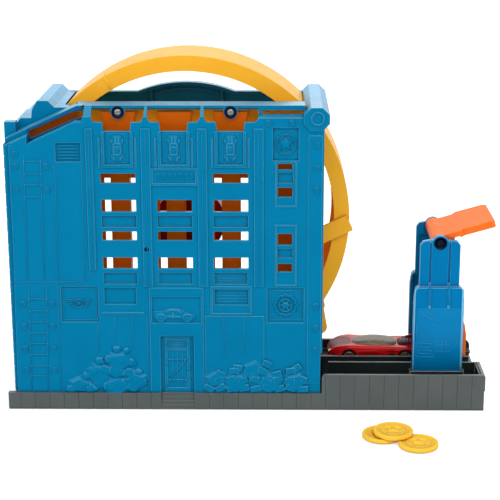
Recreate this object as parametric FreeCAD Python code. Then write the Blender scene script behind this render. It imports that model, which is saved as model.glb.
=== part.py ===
import FreeCAD, Part
import math
import os
from FreeCAD import Vector

os.makedirs("parts", exist_ok=True)

# All lengths are in millimetres. X runs to the right along the front and Z is up.
# Depths run back from the front edge of the base while the pieces are made, and
# each piece is then shifted so that the origin is the centre of the underside.

# Base: a long tray with a raised launch box on its right
base_length = 350.0
base_depth = 107.0
curb_depth = 4.0
base_wall = 2.2
deck_top = 12.7
box_left = 56.0
box_top = 27.5
box_corner = 3.0
launch_depth = 91.0
launch_left = 60.0
plank_pitch = 10.7
plank_groove = 0.8
plank_groove_depth = 0.5
tread_count = 4
rib_pitch = 58.0
rib_wall = 1.8

# Launch track: one black moulding, with a trough, a shelf and the lane
trough_floor = 3.0
liner_wall = 1.4
liner_back = 28.9
lane_run = 19.8
lane_front = 42.2
lane_width = 36.2
lane_floor = 2.0
rail_wall = 2.0
rail_top = 27.5
near_rail_room = 6.5
far_rail_room = 1.0
far_rail_round = 5.0

# Loop: a channel that opens inwards, in three segments and a flap
loop_radius = 120.3
loop_lift = 2.4
loop_side_room = 6.1
loop_front = 41.0
loop_width = 54.0
loop_floor = 1.8
flange_wall = 2.0
flange_height = 11.3
joint_left_angle = 119.0
joint_right_angle = 358.5
flap_low_angle = 284.0
flap_high_angle = 322.0
flap_end_gap = 0.6
flap_tip_clearance = 0.4
joint_gap = 0.25
loop_clearance = 0.5
saddle_spread = 28.0
saddle_length = 12.0
stay_tilt = 25.5
stay_width = 12.1
stay_length = 34.0
stay_lip = 1.5

# Building: two shells that meet at a seam
building_inset = 4.6
building_right = 56.0
building_back = 105.0
facade_front = 2.0
facade_wall = 2.6
facade_inset = 5.0
facade_taper = 2.6
shell_wall = 2.3
seam_depth = 46.0
seam_gap = 0.2
side_setback = 6.0
return_back = 38.0
column_front = 22.0
column_back = 30.0
column_top = 211.0
column_proud = 2.1

# Facade: three window bays and a narrow one
bay_pitch = 39.85
first_bay_x = -89.75
window_width = 24.8
narrow_x = 28.5
narrow_width = 10.4
bay_top = 214.4
notch_width = 18.6
notch_bottom = 208.0
right_top = 217.4
relief = 0.8
recess = 1.3
rock_height = 1.6

# Roof: slanted strip, bar, hump and corner post
slope_left_z = 199.2
slope_run = 57.4
slope_right_z = 223.2
slope_slot_inset = 16.9
slope_slot_drop = 5.8
bar_front = 12.6
bar_back = 26.7
bar_top = 224.5
bar_thickness = 2.0
bar_inset = 51.4
strip_lift = 1.8
strip_thickness = 2.0
hump_front = 29.0
hump_inset = 4.4
hump_width = 35.0
hump_top = 224.9
hump_shoulder = 207.0
hump_foot = 220.2
post_x = 50.6
post_z = 216.6
post_width = 18.2
post_height = 16.4
post_corner = 5.1
post_front = 0.8
tab_radius = 4.8
tab_z = 219.6
tab_wall = 2.2
screw_radius = 2.3
shank_radius = 1.1
parapet_z = 220.4
arch_left = -83.2
arch_right = -9.6
arch_rise = 7.1
parapet_depth = 8.0
rear_column = 12.0
rear_sill = 9.0
rear_head_z = 196.0
rear_brace = 14.0
band_radius = 78.0

# Inner wall with its three tapered posts
inner_front = 24.4
inner_wall = 2.2
inner_top = 219.3
inner_clearance = 0.4
pillar_front = 15.2
pillar_width = 13.6
pillar_head_width = 24.0
pillar_taper_z = 192.0
pillar_wall = 1.8
inner_slot_top = 169.5
inner_slot_bottom = 60.0

# Safe in the middle of the loop
vault_x = -42.0
vault_z = 130.0
vault_radius = 26.0
vault_front = 52.0
vault_back = 88.0
vault_wall = 2.2
neck_width = 18.0
vault_pin_radius = 1.0
knuckle_radius = 2.6
knuckle_height = 15.2
door_thickness = 3.0
door_gap = 0.4

# Launcher: two towers and the lever between them
tower_end_room = 32.4
tower_front = 23.5
tower_inner_front = 30.5
tower_inner_back = 80.6
tower_back = 87.5
tower_width = 37.0
tower_neck_width = 29.6
tower_base = 22.0
tower_shoulder = 87.0
rear_narrowing = 2.3
rear_shoulder_drop = 5.2
tower_top = 119.4
tower_setback = 3.5
tower_wall = 2.2
pivot_z = 119.9
boss_radius = 5.9
boss_recess = 4.1
boss_recess_depth = 2.2
pin_radius = 2.2
pin_clearance = 0.05
lever_tilt = 16.0
lever_front = 31.2
lever_back = 80.0
hub_radius = 5.8
handle_length = 42.6
handle_thickness = 4.0
handle_front = 34.0
handle_back = 84.0
handle_lift = 4.3
handle_step = 16.5
arm_width = 22.0
striker_reach = 18.5
striker_thickness = 5.5
striker_bottom = 24.6
striker_top = 44.0
striker_width = 28.0
spring_pocket = 6.5
spring_wire = 0.9

# Entry flap and its pin
flap_pivot_angle = 319.5
flap_pivot_out = 10.5
flap_pin_radius = 1.5
flap_side_gap = 0.6
flap_arm = 2.5
ear_radius = 5.4

# Car, about one sixty-fourth of full size
car_nose_x = 61.8
car_length = 74.5
car_width = 31.0
wheel_base = 43.0
front_axle_offset = 16.2
wheel_radius = 5.0
wheel_width = 4.2
wheel_inset = 0.3
arch_clearance = 1.0
axle_radius = 0.6
ride_height = 1.6
chassis_width = 16.8
chassis_end = 11.0

# Coins
coin_radius = 13.9
coin_thickness = 3.2
coin_pile_x = 97.0
coin_pile_y = -49.0
top_coin_right = 7.6
top_coin_front = 1.6
right_coin_right = 24.0
right_coin_front = 15.4

half = base_length / 2
building_left = building_inset - half
slope_right_x = building_left + slope_run
slope_slot_x = building_left + slope_slot_inset
bar_left = building_left + bar_inset
hump_left = building_left + hump_inset
hump_right = hump_left + hump_width
facade_left = building_left + facade_inset
loop_x = building_left + loop_side_room + loop_radius
loop_z = deck_top + loop_lift + loop_radius
tower_x = half - tower_end_room
pivot_x = tower_x
striker_left = tower_x + striker_reach
near_rail_end = half - near_rail_room
far_rail_end = half - far_rail_room
lane_back = lane_front + lane_width
lane_middle = lane_front + lane_width / 2
loop_back = loop_front + loop_width
bays = [first_bay_x + bay_pitch * i for i in range(3)]
door_x = bays[1]
half_window = window_width / 2
seat_half = tower_width / 2 + 1.5
post_left = post_x - post_width / 2


def box(x0, x1, y0, y1, z0, z1):
    return Part.makeBox(x1 - x0, y1 - y0, z1 - z0, Vector(x0, y0, z0))


def polygon(points):
    return Part.Face(Part.makePolygon([Vector(*p) for p in points + points[:1]]))


def slab(points, y0, y1):
    """An outline in X and Z, drawn from depth y0 to depth y1."""
    return polygon([(x, y0, z) for x, z in points]).extrude(Vector(0, y1 - y0, 0))


def web(points, x0, x1):
    """An outline in depth and Z, drawn from x0 to x1."""
    return polygon([(x0, y, z) for y, z in points]).extrude(Vector(x1 - x0, 0, 0))


def plan(points, z0, z1):
    """An outline in X and depth, drawn from z0 to z1."""
    return polygon([(x, y, z0) for x, y in points]).extrude(Vector(0, 0, z1 - z0))


def rod(x, z, radius, y0, y1):
    return Part.makeCylinder(radius, y1 - y0, Vector(x, y0, z), Vector(0, 1, 0))


def upright(x, y, radius, z0, z1):
    return Part.makeCylinder(radius, z1 - z0, Vector(x, y, z0))


def tube(x, z, outer, inner, y0, y1):
    return rod(x, z, outer, y0, y1).cut(rod(x, z, inner, y0 - 1, y1 + 1))


def faceted(rings):
    """A closed body of flat triangles between rings of points, with flat ends."""
    faces = [polygon(rings[0]), polygon(rings[-1])]
    for near, far in zip(rings, rings[1:]):
        for i in range(len(near)):
            j = (i + 1) % len(near)
            faces.append(polygon([near[i], near[j], far[j]]))
            faces.append(polygon([near[i], far[j], far[i]]))
    shell = Part.Shell(faces)
    shell.sewShape()
    solid = Part.Solid(shell)
    if solid.Volume < 0:
        solid.reverse()
    return solid


def fused(shapes):
    return shapes[0].fuse(shapes[1:]).removeSplitter()


def export(name, shape):
    shape = shape.copy()
    shape.translate(Vector(0, -base_depth / 2, 0))
    solids = shape.Solids
    valid = all(s.isValid() and s.isClosed() for s in solids)
    print(name, "solids", len(solids), "valid", valid, "volume", round(shape.Volume, 1))
    result = solids[0] if len(solids) == 1 else Part.makeCompound(solids)
    result.exportStep("parts/" + name + ".step")


def loop_point(radius, angle):
    a = math.radians(angle)
    return loop_x + radius * math.cos(a), loop_z + radius * math.sin(a)


def loop_sweep(section, start, end):
    """Turns a section of (radius, depth) points about the loop's axis, in degrees from +X."""
    face = polygon([(loop_x + r, y, loop_z) for r, y in section])
    centre = Vector(loop_x, 0, loop_z)
    face.rotate(centre, Vector(0, 1, 0), -start)
    return face.revolve(centre, Vector(0, 1, 0), start - end)


flap_pivot_x, flap_pivot_z = loop_point(loop_radius + flap_pivot_out, flap_pivot_angle)


def loop_disc(margin, y0, y1):
    """Room for the whole loop, used to cut what stands around it."""
    return rod(loop_x, loop_z, loop_radius + margin, y0, y1)


# Base


def base_outline(inset, z0, z1):
    step = launch_left - inset
    left = building_left + inset
    points = [
        (left, inset),
        (half - inset, inset),
        (half - inset, launch_depth - inset),
        (step, launch_depth - inset),
        (step, base_depth - inset),
        (left, base_depth - inset),
    ]
    return plan(points, z0, z1)


def plank_grooves():
    count = int(base_length / plank_pitch)
    first = -(count - 1) * plank_pitch / 2
    half_groove = plank_groove / 2
    tools = []
    for i in range(count):
        x = first + i * plank_pitch
        if abs(x - door_x) > half_window + plank_groove:
            notch = [(x - half_groove, -1.0), (x + half_groove, -1.0), (x + half_groove, 0.0)]
            notch += [(x, plank_groove_depth), (x - half_groove, 0.0)]
            tools.append(plan(notch, -1.0, box_top + 1))
    return tools


def door_treads():
    """Steps cut into the front of the base below the door."""
    rise = deck_top / tread_count
    tools = []
    for i in range(tread_count):
        z = deck_top - (i + 1) * rise + 0.5
        depth = facade_front - 0.4 * (i + 1)
        tools.append(box(door_x - half_window, door_x + half_window, -1, depth, z, deck_top + 1))
    return tools


def underside_hollow():
    room = base_outline(base_wall, -1, deck_top - base_wall)
    keep = [box(box_left - base_wall, half + 1, -1, liner_back + base_wall, -2, deck_top)]
    for i in range(1, 4):
        y = base_depth * i / 4
        keep.append(box(-half, half, y - rib_wall / 2, y + rib_wall / 2, -2, deck_top))
    for i in range(-2, 3):
        x = rib_pitch * i
        keep.append(box(x - rib_wall / 2, x + rib_wall / 2, 0, base_depth, -2, deck_top))
    pad_size = 16.0
    middle = base_depth / 2
    keep.append(box(-pad_size, pad_size, middle - pad_size, middle + pad_size, -2, deck_top))
    return room.cut(keep)


def saddles():
    """Two cradles on the deck that carry the loop."""
    blocks = []
    reach = saddle_length / 2
    top = loop_z - math.sqrt(loop_radius ** 2 - (saddle_spread + reach) ** 2)
    for side in (-1, 1):
        x = loop_x + side * saddle_spread
        block = box(x - reach, x + reach, loop_front, loop_back, deck_top - 1, top)
        blocks.append(block.cut(loop_disc(0, loop_front - 1, loop_back + 1)))
    return blocks


def end_hook():
    """Small clip on the right end, for joining a further set."""
    reach = 1.8
    hook = web([(8, 12), (14, 12), (14, 23), (8, 23)], half - 0.5, half + reach)
    return hook.cut(box(half, half + reach / 2, 7, 15, 14, 24))


def base_tray():
    deck = base_outline(0, 0, deck_top)
    curb = box(-half, building_left + 1, 0, curb_depth, 0, deck_top)
    raised = box(box_left, half, 0, liner_back, 0, box_top)
    corner = [
        e
        for e in raised.Edges
        if abs(e.CenterOfMass.x - box_left) < 0.1 and abs(e.CenterOfMass.z - box_top) < 0.1
    ]
    raised = raised.makeFillet(box_corner, corner)
    tray = fused([deck, curb, raised, end_hook()] + saddles())
    left, right = box_left + base_wall, half - base_wall
    trough = box(left, right, base_wall, liner_back + 1, trough_floor, box_top + 1)
    shelf_gap = box(left, right, liner_back, liner_back + 1, 0, deck_top)
    tools = [trough.cut(shelf_gap), underside_hollow()] + door_treads() + plank_grooves()
    return tray.cut(tools)


export("base_tray", base_tray())


# Launch track


def trough_section():
    """Folded section of the trough and of the shelf behind it."""
    w = liner_wall
    front = base_wall
    back = lane_front - rail_wall
    top = box_top - 0.8
    return [
        (front, trough_floor), (liner_back, trough_floor), (liner_back, deck_top), (back + 0.5, deck_top),
        (back + 0.5, deck_top + w), (liner_back, deck_top + w), (liner_back, rail_top),
        (liner_back - w, rail_top), (liner_back - w, trough_floor + w), (front + w, trough_floor + w),
        (front + w, top), (front, top),
    ]


def lane_section():
    w = rail_wall
    under = lane_run - lane_floor
    return [
        (lane_front - w, deck_top), (lane_front - w, rail_top), (lane_front, rail_top),
        (lane_front, lane_run), (lane_back, lane_run), (lane_back, rail_top),
        (lane_back + w, rail_top), (lane_back + w, deck_top), (lane_back, deck_top),
        (lane_back, under), (lane_front, under), (lane_front, deck_top),
    ]


def launch_track():
    trough_left = box_left + base_wall
    trough_right = half - base_wall
    lane_left = loop_x + saddle_spread + saddle_length / 2 + inner_clearance
    trough = web(trough_section(), trough_left, trough_right)
    end_walls = []
    for x in (trough_left, trough_right - liner_wall):
        end_walls.append(box(x, x + liner_wall, base_wall, liner_back, trough_floor, box_top - 0.8))
    lane = web(lane_section(), lane_left, far_rail_end)
    lane = lane.cut(loop_disc(loop_clearance, loop_front - 1, loop_back + 1))
    rail_front = lane_front - rail_wall
    far_rail = lane_back - far_rail_round
    lane = lane.cut(box(near_rail_end, far_rail_end + 1, rail_front - 1, far_rail, 0, rail_top + 1))
    far_top = [
        e
        for e in lane.Edges
        if abs(e.CenterOfMass.x - far_rail_end) < 0.1 and abs(e.CenterOfMass.z - rail_top) < 0.1
    ]
    lane = lane.makeFillet(far_rail_round, far_top)
    seat_left, seat_right = tower_x - seat_half, tower_x + seat_half
    seats = [
        box(seat_left, seat_right, tower_front - 1, liner_back, trough_floor, tower_base),
        box(seat_left, seat_right, liner_back - 1, rail_front + 0.5, deck_top, tower_base),
        box(seat_left, seat_right, lane_back + rail_wall - 0.5, tower_back + 1.5, deck_top, tower_base),
    ]
    gap = inner_clearance
    rim_notch = box(
        tower_x - tower_width / 2 - gap, tower_x + tower_width / 2 + gap,
        tower_front, tower_inner_front + gap, tower_base, rail_top + 1,
    )
    return fused([trough, lane] + end_walls + seats).cut(rim_notch)


export("launch_track", launch_track())


# Loop


def channel_section():
    outer = loop_radius
    run = loop_radius - loop_floor
    edge = loop_radius - flange_height
    y0, y1, w = loop_front, loop_back, flange_wall
    return [
        (outer, y0), (outer, y1), (edge, y1), (edge, y1 - w),
        (run, y1 - w), (run, y0 + w), (edge, y0 + w), (edge, y0),
    ]


def flange_section(y0):
    edge = loop_radius - flange_height
    y1 = y0 + flange_wall
    return [(loop_radius, y0), (loop_radius, y1), (edge, y1), (edge, y0)]


def loop_top():
    return loop_sweep(channel_section(), joint_right_angle - 360 + joint_gap, joint_left_angle - joint_gap)


def loop_left():
    return loop_sweep(channel_section(), joint_left_angle, flap_low_angle - joint_gap)


def flap_ear(y0):
    """Ear that hangs from a flange and holds the flap's pin."""
    x, z = flap_pivot_x, flap_pivot_z
    root_low = loop_point(loop_radius - 1, flap_high_angle - 1)
    root_high = loop_point(loop_radius - 1, flap_high_angle + 6)
    arm = slab([root_low, (x - ear_radius, z), (x + ear_radius, z), root_high], y0, y0 + flange_wall)
    return arm.fuse(rod(x, z, ear_radius, y0, y0 + flange_wall))


def loop_right():
    parts = [loop_sweep(channel_section(), flap_high_angle, joint_right_angle)]
    for y0 in (loop_front, loop_back - flange_wall):
        parts.append(loop_sweep(flange_section(y0), flap_low_angle, flap_high_angle + 0.5))
        parts.append(flap_ear(y0))
    hole = rod(flap_pivot_x, flap_pivot_z, flap_pin_radius, loop_front - 1, loop_back + 1)
    tip_x, tip_z = loop_point(loop_radius - loop_floor, flap_high_angle - flap_end_gap)
    reach = math.hypot(tip_x - flap_pivot_x, tip_z - flap_pivot_z) + flap_tip_clearance
    bevel = rod(flap_pivot_x, flap_pivot_z, reach, loop_front + flange_wall, loop_back - flange_wall)
    return fused(parts).cut([hole, bevel])


def flap_pin():
    return rod(flap_pivot_x, flap_pivot_z, flap_pin_radius, loop_front, loop_back)


def entry_flap():
    """Curved plate that continues the run and swings up about its pin."""
    x, z = flap_pivot_x, flap_pivot_z
    y0 = loop_front + flange_wall + flap_side_gap
    y1 = loop_back - flange_wall - flap_side_gap
    run = loop_radius - loop_floor
    low, high = flap_low_angle + flap_end_gap, flap_high_angle - flap_end_gap
    parts = [loop_sweep([(loop_radius, y0), (loop_radius, y1), (run, y1), (run, y0)], low, high)]
    root_low = loop_point(loop_radius - 1, high - 11)
    root_high = loop_point(loop_radius - 1, high - 1)
    barrel = flap_pin_radius + 2.0
    for y in (y0, y1 - flap_arm):
        arm = [root_low, (x - barrel * 0.75, z - barrel * 0.75), (x, z + barrel), root_high]
        parts.append(slab(arm, y, y + flap_arm))
    parts.append(rod(x, z, barrel, y0, y1))
    rib = 1.6
    y = (y0 + y1 - rib) / 2
    section = [(loop_radius + rib, y), (loop_radius + rib, y + rib), (run + 0.5, y + rib), (run + 0.5, y)]
    parts.append(loop_sweep(section, low + 8, high - 4))
    return fused(parts).cut(rod(x, z, flap_pin_radius + pin_clearance, y0 - 1, y1 + 1))


def loop_stay():
    """Bar from the shell's right return to the front flange, at the loop's joint."""
    thickness = loop_front - return_back
    bar = box(-stay_length, 0, return_back, loop_front, -stay_width / 2, stay_width / 2)
    hook = box(-stay_lip, 0, return_back, loop_front + 6, -stay_width / 2, stay_width / 2)
    stay = bar.fuse(hook)
    stay.rotate(Vector(0, 0, 0), Vector(0, 1, 0), -stay_tilt)
    stay.translate(Vector(loop_x + loop_radius, 0, loop_z - thickness))
    return stay.cut(loop_disc(0.1, loop_front, loop_back)).removeSplitter()


export("loop_top", loop_top())
export("loop_left", loop_left())
export("loop_right", loop_right())
export("loop_stay", loop_stay())
export("entry_flap", entry_flap())
export("flap_pin", flap_pin())


# Facade


def slope_z(x):
    """Height of the slanted roof edge at the upper left."""
    share = (x - facade_left) / (slope_right_x - facade_left)
    return slope_left_z + share * (slope_right_z - slope_left_z)


def slot_foot():
    """Left end of the slot's lower edge, and where that edge levels out."""
    under_z = slope_z(slope_slot_x) - slope_slot_drop
    run = (slope_right_x - facade_left) / (slope_right_z - slope_left_z)
    return under_z, slope_slot_x + (bay_top - under_z) * run


def facade_outline():
    right_low = building_right - 1.2
    ledge_x = bays[2] + half_window + 5.0
    under_z, level_x = slot_foot()
    points = [
        (facade_left - facade_taper, deck_top),
        (right_low, deck_top),
        (right_low, 44.0),
        (building_right, 45.0),
        (building_right, post_z - post_height / 2 - 2.0),
        (post_x + 3.0, post_z - post_height / 2 + 0.5),
        (post_x - 3.0, post_z - post_height / 2 + 0.5),
        (post_left + 1.0, right_top),
        (ledge_x + 2.4, right_top),
        (ledge_x, bay_top),
    ]
    top = notch_width / 2 + 0.8
    low = notch_width / 2
    for x in reversed(bays):
        points += [(x + top, bay_top), (x + low, notch_bottom), (x - low, notch_bottom), (x - top, bay_top)]
    points += [(level_x, bay_top), (slope_slot_x, under_z), (slope_slot_x, slope_z(slope_slot_x))]
    points += [(facade_left, slope_left_z)]
    return points


def pad(x0, x1, z0, z1, height=relief):
    return box(x0, x1, facade_front - height, facade_front + 0.5, z0, z1)


def sunk(x0, x1, z0, z1, depth=recess):
    return box(x0, x1, facade_front - 3, facade_front + depth, z0, z1)


def rim(x0, x1, z0, z1, width, height=relief):
    outer = pad(x0, x1, z0, z1, height)
    return outer.cut(box(x0 + width, x1 - width, facade_front - 5, facade_front + 5, z0 + width, z1 - width))


def hole(x, z, width, height):
    return box(x - width / 2, x + width / 2, facade_front - 4, facade_front + 9, z, z + height)


def windows():
    rows = ((107.6, 8.5), (128.7, 6.7), (149.8, 8.8), (170.8, 7.0))
    narrow_rows = ((105.4, 6.2), (125.4, 8.5), (160.7, 7.0), (180.6, 4.3))
    cuts = []
    for x in bays:
        for z, height in rows[:3] if x == door_x else rows:
            cuts.append(hole(x, z, window_width, height))
    for z, height in narrow_rows:
        cuts.append(hole(narrow_x, z, narrow_width, height))
    return cuts


def bay_relief():
    """Pilasters between the bays, framed bay heads and sunk sill panels."""
    pads = []
    cuts = []
    h = half_window
    for i in range(4):
        x = first_bay_x + bay_pitch * (i - 0.5)
        foot = 106.8 if i == 0 else 94.4
        half_strip = 2.4 if i == 0 else 3.2
        pads.append(pad(x - half_strip, x + half_strip, foot, bay_top - 4.5))
    for x in bays:
        head = pad(x - 11.0, x + 11.0, 182.4, notch_bottom - 0.2)
        cuts.append(sunk(x - 9.2, x + 9.2, 184.2, notch_bottom + 1, 0.5))
        pads.append(head)
        for side in (-1, 1):
            pads.append(pad(x + side * (h + 0.4) - 0.5, x + side * (h + 0.4) + 0.5, 182.4, 203.0, 0.5))
        cuts.append(sunk(x - h, x + h, 138.6, 146.8))
        cuts.append(sunk(x - h + 0.2, x + h - 0.6, 96.2, 104.5))
    return pads, cuts


def left_panels():
    """Vent and framed plates on the left third."""
    pads = []
    cuts = [sunk(-133.5, -115.5, 186.1, 199.8)]
    cuts.append(sunk(-133.5, -106.5, 67.1, 93.8, 0.8))
    pads.append(rim(-132.2, -109.3, 76.3, 86.2, 0.9, 0))
    x = bays[0]
    pads.append(pad(x - 14.4, x + 16.2, 73.3, 74.7, 0.5))
    cuts.append(sunk(x - half_window + 0.1, x + half_window - 1.6, 80.6, 93.1))
    return pads, cuts


def right_panels():
    """Framed plates and sill panels on the right."""
    pads = []
    cuts = []
    h = half_window
    x = bays[2]
    pads.append(rim(x - h - 2.4, x + h + 2.4, 72.8, 94.4, 1.3, 0.5))
    cuts.append(sunk(x - h + 0.1, x + h + 0.1, 80.5, 91.8))
    pads.append(pad(x - h - 6.8, x + h + 11.2, deck_top, 72.0, 0.5))
    cuts.append(sunk(15.8, 42.5, 66.8, 93.5, 0.8))
    cuts.append(sunk(19.6, 38.1, 187.0, 210.5))
    for z0, z1 in ((171.1, 178.3), (116.0, 122.6)):
        cuts.append(sunk(narrow_x - 5.2, narrow_x + 5.6, z0, z1))
    for z0, z1 in ((153.6, 187.0), (94.9, 140.4)):
        pads.append(rim(narrow_x - 6.9, narrow_x + 8.4, z0, z1, 0.9, 0.4))
    pads.append(pad(45.0, building_right - 1.3, 20.0, 205.0, 0.5))
    return pads, cuts


def middle_panel():
    """Plain raised panel around the doorway, with a framed plate, and the sign plate high above."""
    pads = []
    cuts = []
    left, right = door_x - 19.5, door_x + 19.5
    pads.append(pad(left, right, deck_top, 93.3, 0.6))
    cuts.append(sunk(left + 1.6, right - 1.6, 66.6, 86.6, 0.3))
    pads.append(rim(door_x - 16.3, door_x + 16.2, 169.5, 181.5, 1.1, 0.6))
    cuts.append(sunk(door_x - half_window, door_x + half_window, deck_top - 1, 56.5, 1.4))
    return pads, cuts


def door_leaf():
    leaf = half_window - 3.4
    face = facade_front + 0.6
    door = box(door_x - leaf, door_x + leaf, face, facade_front + 2, deck_top, 55.4)
    inset = 1.6
    panels = [
        box(door_x - leaf + inset, door_x + leaf - inset, face - 1, face + 0.5, z0, z1)
        for z0, z1 in ((46.5, 53.4), (16.0, 44.9))
    ]
    return door.cut(panels)


def rock(x, z, size, turn):
    """A low flat-topped rock on the face of the facade."""
    rings = []
    for reach, y in ((size, facade_front + 0.4), (size * 0.55, facade_front - rock_height)):
        ring = []
        for i in range(5):
            a = math.radians(72 * i + turn)
            ring.append((x + reach * math.cos(a), y, z + reach * 0.85 * math.sin(a)))
        rings.append(ring)
    return faceted(rings)


def rubble():
    """Two heaps of rocks at the foot of the facade, beside the door."""
    left = ((-122, 18.5, 10, 12), (-108, 27, 13, 40), (-95, 17, 13, 5), (-92, 37, 12, 62), (-81, 22, 11, 30))
    right = ((-22, 23, 10, 20), (-7, 20, 13, 50), (6, 31, 11, 8), (18, 20, 13, 33), (36, 21, 11, 64))
    floor = box(building_left, building_right, facade_front - 5, facade_front + 5, 0, deck_top)
    return [rock(*spot).cut(floor) for spot in left + right]


def facade():
    pads = []
    cuts = []
    for more_pads, more_cuts in (bay_relief(), left_panels(), right_panels(), middle_panel()):
        pads += more_pads
        cuts += more_cuts
    skin = slab(facade_outline(), facade_front, facade_front + facade_wall)
    skin = skin.fuse(pads).cut(cuts).fuse([door_leaf()] + rubble())
    peep = rod(-70.4, 122.2, 1.9, facade_front - 2, facade_front + 9)
    return skin.cut(windows() + [peep])


# Shells


def side_wall(y0, y1, top):
    return box(building_left, building_left + shell_wall, y0, y1, deck_top, top)


def side_column():
    """Thick strip on the outside of the left wall."""
    left, right = building_left - column_proud, building_left + 6.0
    column = box(left, right, column_front, column_back, deck_top, column_top)
    room_left, room_top = building_left + shell_wall, slope_z(right) + strip_lift + inner_clearance
    return column.cut(box(room_left, right + 1, column_front - 1, column_back + 1, 0, room_top))


def hump_outline(drop=0.0):
    """Top edge of the stepped hump, from left to right."""
    top = [
        (0.0, hump_shoulder), (4.4, 212.5), (12.2, 212.5), (12.6, 217.8), (13.8, 220.4), (16.8, hump_top),
        (24.4, hump_top), (29.0, hump_foot), (hump_width, hump_foot),
    ]
    return [(hump_left + x, z - drop) for x, z in top]


def hump_roof(y0, y1):
    low = hump_shoulder - 4
    outer = slab([(hump_left, low)] + hump_outline() + [(hump_right, low)], y0, y1)
    inner = hump_outline(shell_wall)
    inner[0] = (hump_left + shell_wall, inner[0][1])
    inner[-1] = (hump_right + 1, inner[-1][1])
    room = [(hump_left + shell_wall, low - 1)] + inner + [(hump_right + 1, low - 1)]
    lip = box(building_left, hump_left + shell_wall, y0, y1, low, low + shell_wall)
    return outer.cut(slab(room, y0 - 1, y1 + 1)).fuse(lip)


def post_outline(inset=0.0):
    w = post_width / 2 - inset
    h = post_height / 2 - inset
    c = post_corner - inset * 0.6
    corners = [(w, h - c), (w - c, h), (c - w, h), (-w, h - c)]
    corners += [(-dx, -dz) for dx, dz in corners]
    return [(post_x + dx, post_z + dz) for dx, dz in corners]


def corner_post(y0, y1, closed_front):
    start = y0 + shell_wall if closed_front else y0 - 1
    return slab(post_outline(), y0, y1).cut(slab(post_outline(shell_wall), start, y1 + 1))


def slope_strip(drop, x0, x1, y0, y1, thickness=strip_thickness):
    """Slanted plate under the line of the roof, moved down by the given drop."""
    upper = [(x, slope_z(x) - drop) for x in (x0, x1)]
    lower = [(x, slope_z(x) - drop - thickness) for x in (x1, x0)]
    return slab(upper + lower, y0, y1)


def roof_slope():
    """Slanted roof strip with a long slot at its front, and the slot's end and sill."""
    left, inside = building_left, facade_front + 0.5
    lift = strip_lift + strip_thickness
    strip = slope_strip(-lift, left, slope_right_x + 2, bar_front, hump_front + 1)
    strip = strip.cut(box(left, slope_right_x + 3, 0, base_depth, bar_top, bar_top + 9))
    front = slope_strip(0, left, slope_slot_x, facade_front, bar_front + 1)
    front = front.cut(box(left - 1, facade_left, facade_front - 1, side_setback, 0, bar_top))
    riser = slope_strip(0.5 - lift, left, slope_slot_x, bar_front, bar_front + 1.5, lift)
    under_z, level_x = slot_foot()
    end_top = slope_z(slope_slot_x - 2) - 0.3
    end = box(slope_slot_x - 2, slope_slot_x, inside, bar_front + 1, under_z - 2, end_top)
    sill = slope_strip(slope_slot_drop, slope_slot_x - 1, level_x, inside, bar_front)
    ledge = box(level_x - 1, slope_right_x + 1, inside, bar_front, bay_top - strip_thickness, bay_top)
    return [strip, front, riser, end, sill, ledge]


def gusset(x, half_width, foot):
    """Strut from the facade's top back up to the bar."""
    low = bay_top - 1
    strut = web(
        [
            (facade_front, low), (facade_front + facade_wall, low),
            (bar_front + 1.8, bar_top - bar_thickness), (bar_front + 1.8, bar_top), (bar_front, bar_top),
        ],
        x - half_width, x + half_width,
    )
    flare = slab(
        [(x - foot, low), (x + foot, low), (x + foot, bay_top), (x + half_width, bay_top + 4),
         (x - half_width, bay_top + 4), (x - foot, bay_top)],
        facade_front, facade_front + facade_wall,
    )
    return strut.fuse(flare.cut(strut))


def screw_spots():
    return [(bays[0], tab_z), (bays[2], tab_z)]


def screw_tab(x, z):
    back = bar_front + tab_wall
    tab = rod(x, z, tab_radius, bar_front, back).fuse(
        box(x - tab_radius, x + tab_radius, bar_front, back, z, bar_top - 1)
    )
    return tab.cut([
        rod(x, z, shank_radius, bar_front - 1, back + 1),
        rod(x, z, screw_radius + 0.9, bar_front - 1, bar_front + 0.8),
    ])


def roof_bar():
    end = post_left + 1
    parts = [
        plan(
            [(bar_left - 2, bar_back), (slope_right_x + 1, bar_front), (end, bar_front), (end, bar_back)],
            bar_top - bar_thickness, bar_top,
        ),
        box(bar_left, end, bar_back - 2, hump_front + 0.5, bar_top - 4.4, bar_top),
    ]
    parts += [screw_tab(x, z) for x, z in screw_spots()]
    parts += [gusset(first_bay_x + bay_pitch * (i - 0.5), 1.1, 3.2) for i in (1, 2)]
    parts.append(gusset(first_bay_x - bay_pitch / 2 - 1.0, 2.6, 4.2))
    return parts


def right_shelf():
    """Flat shelf and slotted upstand to the right of the bays."""
    left = bays[2] + half_window + 7.4
    right = post_left + 1
    shelf = box(left, right, facade_front, bar_front + tab_wall, right_top - 2.2, right_top)
    upstand = box(left, right, bar_front, bar_front + tab_wall, right_top - 2.2, bar_top)
    slot = box(left + 2.2, right - 0.6, bar_front - 1, bar_front + 4, right_top + 0.8, right_top + 3.8)
    return [shelf, upstand.cut(slot)]


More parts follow.
